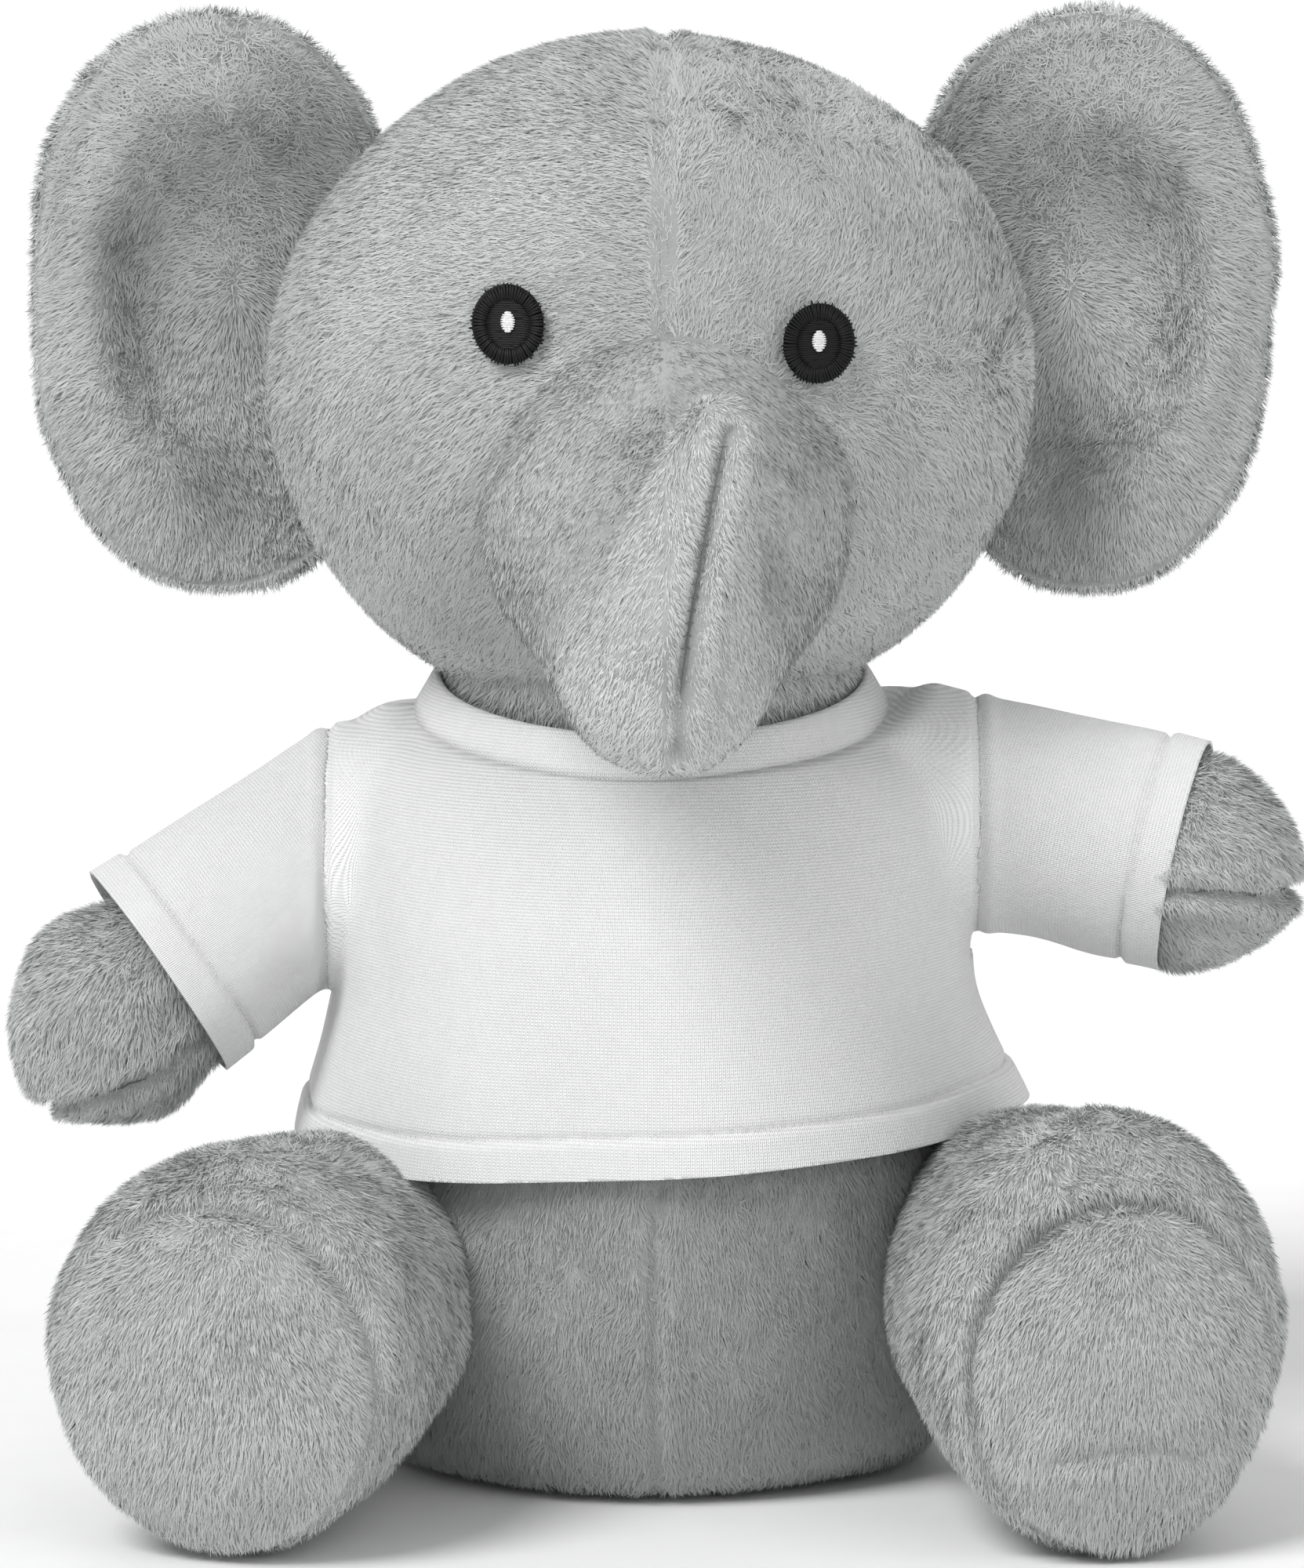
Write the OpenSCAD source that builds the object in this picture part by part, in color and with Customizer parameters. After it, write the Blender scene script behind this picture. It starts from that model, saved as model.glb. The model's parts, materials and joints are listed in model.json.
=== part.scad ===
// Seated plush elephant with a plain jersey T-shirt.
// Face towards -Y, crown towards +Z, seat and feet on z = 0. Millimetres.
// "left" and "right" are as seen from the front, so left is -X.

/* [Head] */
// Width of the head, cheek to cheek
head_w = 122; // [118:1:124]
// Height of the head, which is also its depth
head_h = 110; // [106:1:110]
// Height of the middle of the head
head_z = 172; // [172:0.5:175]
// Thickness of the plush, backing and pile together
plush_t = 2.6; // [1.5:0.1:3.2]

/* [Trunk] */
// Radius of the muzzle where it leaves the face
muzzle_r = 31; // [27:0.5:32]
// Radius of the trunk at the bend
trunk_r = 15; // [12:0.5:15.5]
// Radius of the trunk near its tip
trunk_tip_r = 8; // [6:0.5:10]
// Length of the upturned part, from the bend's centre to the tip
trunk_len = 43; // [36:1:46]

/* [Ears] */
// Width of an ear's oval, before the cheek is cut out of it
ear_w = 61; // [54:1:62]
// Height of an ear
ear_h = 94; // [84:1:96]
// Radius of the bowl that an ear is cupped to
ear_cup_r = 95; // [85:1:120]

/* [Body] */
// Radius of the belly
belly_r = 54; // [50:0.5:54]
// Radius of the flat seat
seat_r = 40; // [34:1:42]
// Height of the shoulders, where the neck begins
shoulder_z = 116; // [114:0.5:116]

/* [Arms] */
// Radius of an arm
arm_r = 17; // [15:0.5:17.5]
// Length of the left arm, from the shoulder's centre to the middle of the hand
arm_len_left = 41; // [38:1:43]
// Length of the right arm, from the shoulder's centre to the middle of the hand
arm_len_right = 35; // [34:1:38]
// Angle of the left arm below level
arm_drop_left = 33; // [28:1:36]
// Angle of the right arm below level
arm_drop_right = 9; // [4:1:14]

/* [Legs] */
// Radius of a leg
leg_r = 32; // [28:0.5:32]
// Radius of a sole
sole_r = 27.5; // [24:0.5:28]
// Length of a leg, from the hip's centre to the sole
leg_len = 61; // [56:1:63]
// Angle that the left leg turns outwards
leg_splay_left = 18; // [14:1:20]
// Angle that the right leg turns outwards
leg_splay_right = 13; // [12:1:18]

/* [T-shirt] */
// Thickness of the jersey, drawn at twice the real knit
jersey_t = 1; // [0.8:0.1:1.2]
// Height of the hem above the seat
hem_z = 53; // [50:1:58]
// Length of a sleeve from the shoulder's centre
sleeve_len = 34; // [28:1:35]

/* [Hidden] */

$fn = 96;
grey = [0.66, 0.68, 0.67];
pale_grey = [0.74, 0.76, 0.75];
fill_white = [0.93, 0.93, 0.9];
jersey_white = [0.97, 0.97, 0.96];

gap = 0.1;          // between pieces that are sewn or packed together
clear = 0.6;        // between pieces that turn against each other
big = 400;          // a cut that is larger than the toy

neck_z = 122;       // height of the neck joint
neck_r = 15;        // radius of the wad of filling in the neck
nod_up = 6;         // how far the head tips back, degrees
neck = [0, 2, neck_z];

bend = [2, -85, 137];                      // middle of the trunk's bend
muzzle_root = [2, -38, 156];               // middle of the muzzle, inside the face
tip_lean = 12;                             // sideways lean of the upturned trunk, degrees
tip_pitch = -20;                           // forward lean of the upturned trunk, degrees

arm_forward = 9;                           // how far an arm turns to the front, degrees
leg_lift = 15;                             // how far a leg lifts, degrees

// Each side's own pose: side is -1 on the left and 1 on the right.
function shoulder(side) = side < 0 ? [-50, -3, 95] : [50, -3, 103];
function arm_drop(side) = side < 0 ? arm_drop_left : arm_drop_right;
function arm_len(side) = side < 0 ? arm_len_left : arm_len_right;
function arm_swing_down(side) = side < 0 ? 8 : 22;
function arm_swing_up(side) = side < 0 ? 30 : 12;

foot_y = -88;                              // front of the soles
foot_x_left = -68;
foot_x_right = 72;

ear_inner = [38.5, 5, 184];                // where the oval of the right ear would end, inside the head
ear_turn = 6;                              // how far an ear points to the back, degrees
ear_panel_t = 2.4;
ear_padding_t = 3;

tail_root = [0, 58.5, 30];

// Head

// A solid ellipsoid, longer across than it is high; grow adds to every side.
module head_solid(grow = 0) {
    a = head_w / 2 + grow;
    b = head_h / 2 + grow;
    steps = 40;
    outline = [for (i = [0 : steps]) [b * sin(180 * i / steps), a * cos(180 * i / steps)]];
    translate([0, 0, head_z]) rotate([0, 90, 0]) rotate_extrude() polygon(outline);
}

// The rounded hollow under the head that the neck's filling sits in.
module neck_hollow() {
    translate(neck) sphere(neck_r + clear);
}

back_seam_y = 12;   // where the side panels meet the panel at the back of the head

module head_cover() {
    difference() {
        head_solid();
        head_solid(-plush_t);
        neck_hollow();
    }
}

module head_panel_left() {
    color(grey) intersection() {
        head_cover();
        translate([-big - gap / 2, -big + back_seam_y, 0]) cube(big);
    }
}

module head_panel_right() {
    color(grey) intersection() {
        head_cover();
        translate([gap / 2, -big + back_seam_y, 0]) cube(big);
    }
}

module head_back_panel() {
    color(grey) intersection() {
        head_cover();
        translate([-big / 2, back_seam_y + gap, 0]) cube(big);
    }
}

module head_stuffing() {
    color(fill_white) difference() {
        head_solid(-plush_t - gap);
        neck_hollow();
    }
}

// Eyes, worked in thread on the face

eye_w = 11.4;
eye_h = 12.4;
eye_left_x = -22;
eye_left_z = 185;
eye_right_x = 25.5;
eye_right_z = 182;
highlight_w = 2.2;
highlight_h = 3.1;
highlight_up = 0.4;    // how far the highlight sits above the middle of the eye
thread_t = 0.8;

// The part of a thin layer over the face that lies within an oval.
module face_patch(x, z, w, h, low, high) {
    steps = 36;
    oval = [for (i = [0 : steps - 1]) [w / 2 * cos(360 * i / steps), h / 2 * sin(360 * i / steps)]];
    intersection() {
        difference() {
            head_solid(high);
            head_solid(low);
        }
        translate([x, 0, z]) rotate([90, 0, 0]) linear_extrude(80) polygon(oval);
    }
}

module eye(x, z) {
    color("black") face_patch(x, z, eye_w, eye_h, gap, thread_t);
}

module eye_highlight(x, z) {
    color("white")
        face_patch(x, z + highlight_up, highlight_w, highlight_h, thread_t + gap, thread_t * 2);
}

// Muzzle and trunk

// Turns and moves a shape drawn up +Z so that it runs from one point towards another.
module aim(from, to) {
    d = to - from;
    yaw = atan2(d[1], d[0]);
    tilt = atan2(norm([d[0], d[1]]), d[2]);
    translate(from) rotate([0, tilt, yaw]) children();
}

muzzle_len = norm(bend - muzzle_root);

// The muzzle narrows towards the trunk and ends short of the bend, where the trunk turns.
module muzzle_solid(grow = 0) {
    bulge = 2.5;
    flare = muzzle_len - trunk_r - clear;
    end_r = trunk_r + 5;
    steps = 12;
    side = [for (i = [0 : steps])
        let (t = i / steps)
        [muzzle_r + (end_r - muzzle_r) * t + bulge * sin(180 * t) + grow, t * flare]];
    difference() {
        aim(muzzle_root, bend)
            rotate_extrude() polygon(concat([[0, 0]], side, [[0, flare]]));
        head_solid(gap);
    }
}

module muzzle_panel() {
    color(pale_grey) difference() {
        muzzle_solid();
        muzzle_solid(-plush_t);
    }
}

module muzzle_stuffing() {
    color(fill_white) muzzle_solid(-plush_t - gap);
}

// The upturned end: a ball at the bend, then a taper with a round tip.
module trunk_solid(grow = 0) {
    steps = 10;
    cone_a = asin((trunk_r - trunk_tip_r) / (trunk_len - trunk_tip_r));
    ball = [for (i = [0 : steps])
        let (a = -90 + (90 + cone_a) * i / steps)
        [(trunk_r + grow) * cos(a), (trunk_r + grow) * sin(a)]];
    tip = [for (i = [0 : steps])
        let (a = cone_a + (90 - cone_a) * i / steps)
        [(trunk_tip_r + grow) * cos(a), trunk_len - trunk_tip_r + (trunk_tip_r + grow) * sin(a)]];
    translate(bend) rotate([-tip_pitch, tip_lean, 0]) rotate_extrude() polygon(concat(ball, tip));
}

module trunk_cover() {
    difference() {
        trunk_solid();
        trunk_solid(-plush_t);
    }
}

module trunk_panel_left() {
    color(pale_grey) intersection() {
        trunk_cover();
        trunk_half(-1);
    }
}

module trunk_panel_right() {
    color(pale_grey) intersection() {
        trunk_cover();
        trunk_half(1);
    }
}

// Everything on one side of the seam that runs along the trunk.
module trunk_half(side) {
    translate(bend) rotate([-tip_pitch, tip_lean, 0])
        translate([side * (big / 2 + gap / 2), 0, 0]) cube(big, center = true);
}

module trunk_stuffing() {
    color(fill_white) trunk_solid(-plush_t - gap);
}

// Ears

// The outline of an ear: a tall oval with a flatter side at its seam. x runs outwards.
module ear_outline(inset = 0) {
    steps = 48;
    a = ear_w / 2 - inset;
    b = ear_h / 2 - inset;
    squareness = 0.93;
    function soft(v) = sign(v) * pow(abs(v), squareness);
    polygon([for (i = [0 : steps - 1])
        let (t = 360 * i / steps)
        [ear_w / 2 + a * soft(cos(t)), b * soft(sin(t))]]);
}

// One layer of an ear, cut from a bowl that opens to the front.
module ear_layer(near, far, inset = 0) {
    bowl = [ear_w * 0.48, -ear_cup_r - 0.4, 3];
    intersection() {
        difference() {
            translate(bowl) sphere(ear_cup_r + far);
            translate(bowl) sphere(ear_cup_r + near);
        }
        translate([0, 60, 0]) rotate([90, 0, 0]) linear_extrude(120) ear_outline(inset);
    }
}

// Room for the side of the head, as round as the cheek that the ear lies against.
module cheek_room(side) {
    r = head_h / 2 - 1;
    translate([side * (head_w / 2 + 2 - r), 0, head_z])
        rotate([90, 0, 0]) cylinder(r = r, h = 140, center = true);
}

// Puts an ear on the side of the head, clear of the cheek.
module on_ear(side) {
    difference() {
        mirror([side > 0 ? 0 : 1, 0, 0])
            translate(ear_inner) rotate([0, 0, ear_turn]) children();
        cheek_room(side);
    }
}

module ear_front(side) {
    color(pale_grey) on_ear(side) ear_layer(0, ear_panel_t);
}

module ear_padding(side) {
    color(fill_white) on_ear(side)
        ear_layer(ear_panel_t + gap, ear_panel_t + gap + ear_padding_t, 3);
}

module ear_back(side) {
    near = ear_panel_t + 2 * gap + ear_padding_t;
    color(grey) on_ear(side) ear_layer(near, near + ear_panel_t);
}

// Neck

module neck_stuffing() {
    color(fill_white) translate(neck) sphere(neck_r);
}

// Body

// Half-width of the body at height z: a flat seat, a full belly and narrow shoulders.
function body_r(z) =
    z < 30 ? seat_r + (belly_r - seat_r) * sqrt(max(0, 1 - pow((30 - z) / 30, 2)))
    : belly_r - (belly_r - 26) * pow((z - 30) / (shoulder_z - 30), 4);

module body_solid(grow = 0) {
    steps = 24;
    low = -grow;
    high = shoulder_z + grow;
    side = [for (i = [0 : steps])
        let (z = low + (high - low) * i / steps)
        [max(4, body_r(min(max(z - grow, 0), shoulder_z)) + grow), z]];
    difference() {
        rotate_extrude() polygon(concat([[0, low]], side, [[0, high]]));
        neck_hollow();
    }
}

// Room in the body and shirt for everything that swings at the shoulders and hips.
module limb_room(extra = 0) {
    arm_room(-1, extra);
    arm_room(1, extra);
    leg_room(-1);
    leg_room(1);
}

module body_cover() {
    difference() {
        body_solid();
        body_solid(-plush_t);
        limb_room();
    }
}

module body_panel_left() {
    color(grey) intersection() {
        body_cover();
        translate([-big - gap / 2, -big / 2, plush_t + gap]) cube(big);
    }
}

module body_panel_right() {
    color(grey) intersection() {
        body_cover();
        translate([gap / 2, -big / 2, plush_t + gap]) cube(big);
    }
}

// The oval under the seat, which the toy rests on.
module seat_panel() {
    color(grey) intersection() {
        body_solid();
        difference() {
            cylinder(h = plush_t, r = big);
            limb_room();
        }
    }
}

bag_r = 24;
bag_h = 20;

module pellet_bag(grow = 0) {
    soft = 5 + grow;
    color("ivory") translate([0, 12, plush_t + gap * 2 - grow])
        rotate_extrude() {
            square([bag_r + grow - soft, bag_h + 2 * grow]);
            translate([0, soft]) square([bag_r + grow, bag_h + 2 * grow - 2 * soft]);
            translate([bag_r + grow - soft, soft]) circle(soft);
            translate([bag_r + grow - soft, bag_h + 2 * grow - soft]) circle(soft);
        }
}

module body_stuffing() {
    color(fill_white) difference() {
        body_solid(-plush_t - gap);
        pellet_bag(gap);
        limb_room();
    }
}

tail_r = 4;
tail_len = 27;

module tail() {
    color(grey) translate(tail_root) rotate([-150, 0, 0]) {
        sphere(tail_r);
        cylinder(h = tail_len - tail_r, r1 = tail_r, r2 = tail_r * 0.8);
        translate([0, 0, tail_len - tail_r]) sphere(tail_r * 0.8);
    }
}

// T-shirt

waist_z = 80;       // below this the shirt hangs free of the body
hem_flare = 5.8;    // how much wider the hem is than the waist, each side

// Half-width of the shirt at height z: close to the body, then an A-line to the hem.
function shirt_r(z) =
    let (close = body_r(z) + 1.2)
    z > waist_z ? close
    : max(close, body_r(waist_z) + 1.2 + hem_flare * (waist_z - z) / (waist_z - hem_z));

module shirt_shell() {
    steps = 22;
    top = shoulder_z - 1.5;
    heights = [for (i = [0 : steps]) hem_z + (top - hem_z) * i / steps];
    inner = [for (z = heights) [shirt_r(z), z]];
    outer = [for (i = [steps : -1 : 0]) [shirt_r(heights[i]) + jersey_t, heights[i]]];
    difference() {
        rotate_extrude() polygon(concat(inner, outer));
        limb_room(sleeve_gap);
    }
}

module shirt_front() {
    color(jersey_white) intersection() {
        shirt_shell();
        translate([-big / 2, -big - gap / 2, 0]) cube(big);
    }
}

module shirt_back() {
    color(jersey_white) intersection() {
        shirt_shell();
        translate([-big / 2, gap / 2, 0]) cube(big);
    }
}

band_r = 34;
band_h = 5.5;
band_t = 1.6;

// A ribbed ring round the neck, lower at the front.
module shirt_neckband() {
    color(jersey_white) difference() {
        translate([0, -1, shoulder_z + 2]) rotate([8, 0, 0]) rotate_extrude()
            translate([band_r, -band_h / 2]) union() {
                square([band_t, band_h]);
                translate([band_t / 2, 0]) circle(band_t / 2);
                translate([band_t / 2, band_h]) circle(band_t / 2);
            }
        translate(neck) rotate([-nod_up, 0, 0]) translate(-neck) head_solid(1);
        translate([0, 0, shoulder_z - 1.4 - big]) cylinder(h = big, r = big / 2);
    }
}

// Arms and sleeves

sleeve_gap = 2.6;   // the sleeve's reach beyond the arm, with clearance

// Turns a limb drawn up +Z so that it points sideways, down and to the front.
module limb_aim(at, side, drop) {
    translate(at) rotate([0, side * drop, 0]) rotate([0, 0, -side * arm_forward])
        rotate([0, side * 90, 0]) children();
}

// A sausage with a fuller hand.
module arm_profile(side, grow = 0) {
    steps = 12;
    hand_r = arm_r + 1 + grow;
    hand = [for (i = [0 : steps])
        let (a = 90 * i / steps)
        [hand_r * cos(a), arm_len(side) + hand_r * sin(a)]];
    root = [for (i = [0 : steps])
        let (a = -90 + 90 * i / steps)
        [(arm_r + grow) * cos(a), (arm_r + grow) * sin(a)]];
    rotate_extrude() polygon(concat(root, [[arm_r - 0.6 + grow, arm_len(side) * 0.45]], hand));
}

// The cone of room that an arm, or its sleeve, sweeps through between its lowest and highest swing.
module arm_room(side, extra = 0) {
    half = (arm_swing_down(side) + arm_swing_up(side)) / 2;
    middle = arm_drop(side) + (arm_swing_down(side) - arm_swing_up(side)) / 2;
    back = arm_r + clear + extra;
    reach = 60;
    limb_aim(shoulder(side), side, middle) translate([0, 0, -back])
        cylinder(h = back + reach, r1 = back, r2 = back + extra / 2 + (reach + back * 0.2) * sin(half));
}

module arm_cover(side) {
    limb_aim(shoulder(side), side, arm_drop(side)) difference() {
        arm_profile(side);
        arm_profile(side, -plush_t);
    }
}

// upper is 1 for the panel above the seam and -1 for the one below it.
module arm_panel(side, upper) {
    color(grey) intersection() {
        arm_cover(side);
        translate(shoulder(side)) rotate([0, side * arm_drop(side), 0])
            translate([0, 0, upper * (big / 2 + gap / 2)]) cube(big, center = true);
    }
}

module arm_stuffing(side) {
    color(fill_white) limb_aim(shoulder(side), side, arm_drop(side)) arm_profile(side, -plush_t - gap);
}

module sleeve(side) {
    inner = arm_r + 0.5;
    flare = 1.2;
    start = 4;
    color(jersey_white) limb_aim(shoulder(side), side, arm_drop(side)) rotate_extrude()
        polygon([[inner, -start], [inner + flare, sleeve_len],
                 [inner + flare + jersey_t, sleeve_len], [inner + jersey_t, -start]]);
}

// Legs

function splay(side) = side < 0 ? leg_splay_left : leg_splay_right;
function foot_x(side) = side < 0 ? foot_x_left : foot_x_right;
function hip(side) = [foot_x(side) - side * leg_len * sin(splay(side)),
                      foot_y + leg_len * cos(splay(side)),
                      leg_r];

// Turns a leg drawn up +Z so that it points to the front and outwards.
module leg_aim(side) {
    translate(hip(side)) rotate([0, 0, side * splay(side)]) rotate([90, 0, 0]) children();
}

// Bolster of a leg: round at the hip, fullest behind the sole, rounded into it.
function leg_outline(grow) =
    let (steps = 12, round_r = 9, hip_r = leg_r - 4)
    concat(
        [for (i = [0 : steps])
            let (a = -90 + 90 * i / steps)
            [(hip_r + grow) * cos(a), (hip_r + grow) * sin(a)]],
        [for (i = [1 : steps])
            let (t = i / steps)
            [hip_r + grow + (leg_r - hip_r) * sin(90 * t), t * (leg_len - round_r - 6)]],
        [for (i = [0 : steps])
            let (a = 90 * i / steps)
            [leg_r - round_r + (round_r + grow) * cos(a), leg_len - round_r - 3 + (round_r + grow) * sin(a)]]);

module leg_solid(grow = 0) {
    rotate_extrude() polygon(concat(leg_outline(grow), [[0, leg_len - 3 + grow]]));
}

// The cone of room that a leg sweeps through as it lifts.
module leg_room(side) {
    back = leg_r - 4 + clear;
    translate(hip(side)) rotate([0, 0, side * splay(side)]) rotate([90 - leg_lift / 2, 0, 0])
        translate([0, 0, -back]) cylinder(h = back + leg_len, r1 = back, r2 = leg_r + 5);
}

sole_t = 2.6;

module leg_cover(side) {
    color(grey) leg_aim(side) difference() {
        leg_solid();
        leg_solid(-plush_t);
        translate([0, 0, leg_len - 3 - plush_t * 1.6]) cylinder(h = big, r = sole_r + gap);
    }
}

module sole(side) {
    color(grey) leg_aim(side) translate([0, 0, leg_len - 3 - plush_t]) {
        cylinder(h = sole_t, r = sole_r);
        translate([0, 0, sole_t]) cylinder(h = 2.4, r1 = sole_r, r2 = sole_r - 8);
    }
}

module leg_stuffing(side) {
    color(fill_white) leg_aim(side) leg_solid(-plush_t - gap);
}

head_panel_left();
head_panel_right();
head_back_panel();
head_stuffing();
muzzle_panel();
muzzle_stuffing();
eye(eye_left_x, eye_left_z);  // eye_left
eye(eye_right_x, eye_right_z);  // eye_right
eye_highlight(eye_left_x, eye_left_z);  // eye_highlight_left
eye_highlight(eye_right_x, eye_right_z);  // eye_highlight_right
trunk_panel_left();
trunk_panel_right();
trunk_stuffing();
ear_front(-1);  // ear_front_left
ear_padding(-1);  // ear_padding_left
ear_back(-1);  // ear_back_left
ear_front(1);  // ear_front_right
ear_padding(1);  // ear_padding_right
ear_back(1);  // ear_back_right
neck_stuffing();
body_panel_left();
body_panel_right();
seat_panel();
body_stuffing();
pellet_bag();
tail();
shirt_front();
shirt_back();
shirt_neckband();
sleeve(-1);  // sleeve_left
sleeve(1);  // sleeve_right
arm_panel(-1, 1);  // arm_upper_panel_left
arm_panel(-1, -1);  // arm_lower_panel_left
arm_stuffing(-1);  // arm_stuffing_left
arm_panel(1, 1);  // arm_upper_panel_right
arm_panel(1, -1);  // arm_lower_panel_right
arm_stuffing(1);  // arm_stuffing_right
leg_cover(-1);  // leg_cover_left
sole(-1);  // sole_left
leg_stuffing(-1);  // leg_stuffing_left
leg_cover(1);  // leg_cover_right
sole(1);  // sole_right
leg_stuffing(1);  // leg_stuffing_right
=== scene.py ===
import json
import math

import bmesh
import bpy
import numpy as np
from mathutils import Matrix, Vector


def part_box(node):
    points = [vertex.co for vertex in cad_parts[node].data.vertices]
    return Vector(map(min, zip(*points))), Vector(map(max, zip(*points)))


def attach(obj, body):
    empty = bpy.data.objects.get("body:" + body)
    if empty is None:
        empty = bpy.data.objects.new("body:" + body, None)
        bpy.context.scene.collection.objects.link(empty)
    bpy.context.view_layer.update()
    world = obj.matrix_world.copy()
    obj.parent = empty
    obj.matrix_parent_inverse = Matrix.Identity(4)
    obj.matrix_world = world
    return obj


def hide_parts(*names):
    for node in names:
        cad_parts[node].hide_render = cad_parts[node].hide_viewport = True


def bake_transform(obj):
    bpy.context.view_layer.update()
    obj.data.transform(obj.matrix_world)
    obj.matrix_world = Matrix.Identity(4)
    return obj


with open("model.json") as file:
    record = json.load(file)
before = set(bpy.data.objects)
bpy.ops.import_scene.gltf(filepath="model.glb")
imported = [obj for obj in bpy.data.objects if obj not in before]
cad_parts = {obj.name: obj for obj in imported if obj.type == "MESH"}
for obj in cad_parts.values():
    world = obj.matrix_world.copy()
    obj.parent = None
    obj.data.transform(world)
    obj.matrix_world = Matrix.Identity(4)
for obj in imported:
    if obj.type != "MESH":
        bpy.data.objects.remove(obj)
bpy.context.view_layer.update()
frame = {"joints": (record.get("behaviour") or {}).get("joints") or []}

MM = 0.001
TAU = 2 * math.pi

# ---- frame helpers


def span(*nodes):
    """Lowest and highest corner of some CAD nodes together."""
    boxes = [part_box(n) for n in nodes]
    low = np.min([np.array(b[0]) for b in boxes], axis=0)
    high = np.max([np.array(b[1]) for b in boxes], axis=0)
    return low, high


def middle(*nodes):
    low, high = span(*nodes)
    return (low + high) / 2


def pivot(joint):
    found = next(j for j in frame["joints"] if j["name"] == joint)
    return np.array(found["pos_m"], float)


def unit(v):
    v = np.asarray(v, float)
    length = np.linalg.norm(v, axis=-1, keepdims=True)
    return v / np.maximum(length, 1e-12)


def sign_of(side):
    """The sign of x on a side of the toy."""
    return -1 if side == "left" else 1


def smoothstep(a, b, x):
    t = np.clip((x - a) / (b - a), 0, 1)
    return t * t * (3 - 2 * t)


def bell(x, width):
    return np.exp(-(x / width) ** 2)


# ---- noise

LATTICE = np.random.default_rng(7).random((32, 32, 32))


def value_noise(points, size, shift=0.0):
    """Smooth noise from 0 to 1 at each point; size is the width of one blotch, in metres."""
    p = np.asarray(points) / size + 50.3 + shift
    cell = np.floor(p).astype(int)
    f = p - cell
    f = f * f * (3 - 2 * f)
    total = np.zeros(len(p))
    for dx in (0, 1):
        for dy in (0, 1):
            for dz in (0, 1):
                weight = (
                    np.where(dx, f[:, 0], 1 - f[:, 0])
                    * np.where(dy, f[:, 1], 1 - f[:, 1])
                    * np.where(dz, f[:, 2], 1 - f[:, 2])
                )
                corner = LATTICE[(cell[:, 0] + dx) % 32, (cell[:, 1] + dy) % 32, (cell[:, 2] + dz) % 32]
                total += weight * corner
    return total


def noise_vector(points, size, shift=0.0):
    return np.stack([value_noise(points, size, shift + 11.7 * k) - 0.5 for k in range(3)], axis=1)


# ---- mesh helpers


def new_mesh(name, verts, faces, materials=(), material_index=None, smooth=True):
    """A mesh object from arrays; faces is an (n, 3) or (n, 4) array, or a list of such arrays."""
    groups = [np.asarray(g, np.int32) for g in (faces if isinstance(faces, list) else [faces]) if len(g)]
    mesh = bpy.data.meshes.new(name)
    mesh.vertices.add(len(verts))
    mesh.vertices.foreach_set("co", np.asarray(verts, np.float32).ravel())
    loops = np.concatenate([g.ravel() for g in groups])
    starts = []
    at = 0
    for g in groups:
        starts.append(at + np.arange(len(g)) * g.shape[1])
        at += g.size
    mesh.loops.add(len(loops))
    mesh.loops.foreach_set("vertex_index", loops)
    mesh.polygons.add(sum(len(g) for g in groups))
    mesh.polygons.foreach_set("loop_start", np.concatenate(starts).astype(np.int32))
    if material_index is not None:
        mesh.polygons.foreach_set("material_index", np.asarray(material_index, np.int32))
    mesh.update(calc_edges=True)
    mesh.validate()
    mesh.polygons.foreach_set("use_smooth", np.full(len(mesh.polygons), smooth))
    for m in materials:
        mesh.materials.append(m)
    obj = bpy.data.objects.new(name, mesh)
    bpy.context.scene.collection.objects.link(obj)
    return obj


def coords(obj):
    co = np.zeros(len(obj.data.vertices) * 3, np.float32)
    obj.data.vertices.foreach_get("co", co)
    return co.reshape(-1, 3).astype(float)


def set_coords(obj, co):
    obj.data.vertices.foreach_set("co", np.asarray(co, np.float32).ravel())
    obj.data.update()


def normals(obj):
    n = np.zeros(len(obj.data.vertices) * 3, np.float32)
    obj.data.vertices.foreach_get("normal", n)
    return n.reshape(-1, 3).astype(float)


def axes_along(direction, up=(0, 0, 1)):
    """Rows: across, up and along, for a piece that runs along a direction."""
    along = unit(direction)
    across = unit(np.cross(along, np.asarray(up, float)))
    return np.array([across, np.cross(across, along), along])


def ring_quads(rings, turns):
    """Faces between rings of points that are numbered ring after ring."""
    i, j = np.meshgrid(np.arange(rings - 1), np.arange(turns), indexing="ij")
    k = (j + 1) % turns
    near, far = i * turns, (i + 1) * turns
    return np.stack([near + j, near + k, far + k, far + j], axis=2).reshape(-1, 4)


def lathe(name, outline, segments, at, axes, materials=(), shape=None):
    """Turns an outline of (height, radius) about an axis; shape may move the points first, in local
    coordinates. An end that has no radius is closed, and the faces look outwards."""
    rings = len(outline)
    height = np.array([p[0] for p in outline])[:, None] * np.ones((1, segments))
    radius = np.array([p[1] for p in outline])[:, None] * np.ones((1, segments))
    angle = np.ones((rings, 1)) * (np.arange(segments) / segments * TAU)[None, :]
    local = np.stack([radius * np.cos(angle), radius * np.sin(angle), height], axis=2)
    if shape:
        local = shape(local, angle)
    verts = local.reshape(-1, 3) @ axes + np.asarray(at)
    quads = ring_quads(rings, segments)
    a, b, c = (verts[quads[:, k]] - np.asarray(at) for k in range(3))
    if np.sum(np.cross(a, b) * c) < 0:
        quads = quads[:, ::-1]
    return new_mesh(name, verts, quads, materials)


def shade_smooth(obj):
    obj.data.polygons.foreach_set("use_smooth", np.full(len(obj.data.polygons), True))


def dress(obj, materials):
    """Gives a mesh these materials in place of its own."""
    obj.data.materials.clear()
    for m in materials:
        obj.data.materials.append(m)


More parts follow.
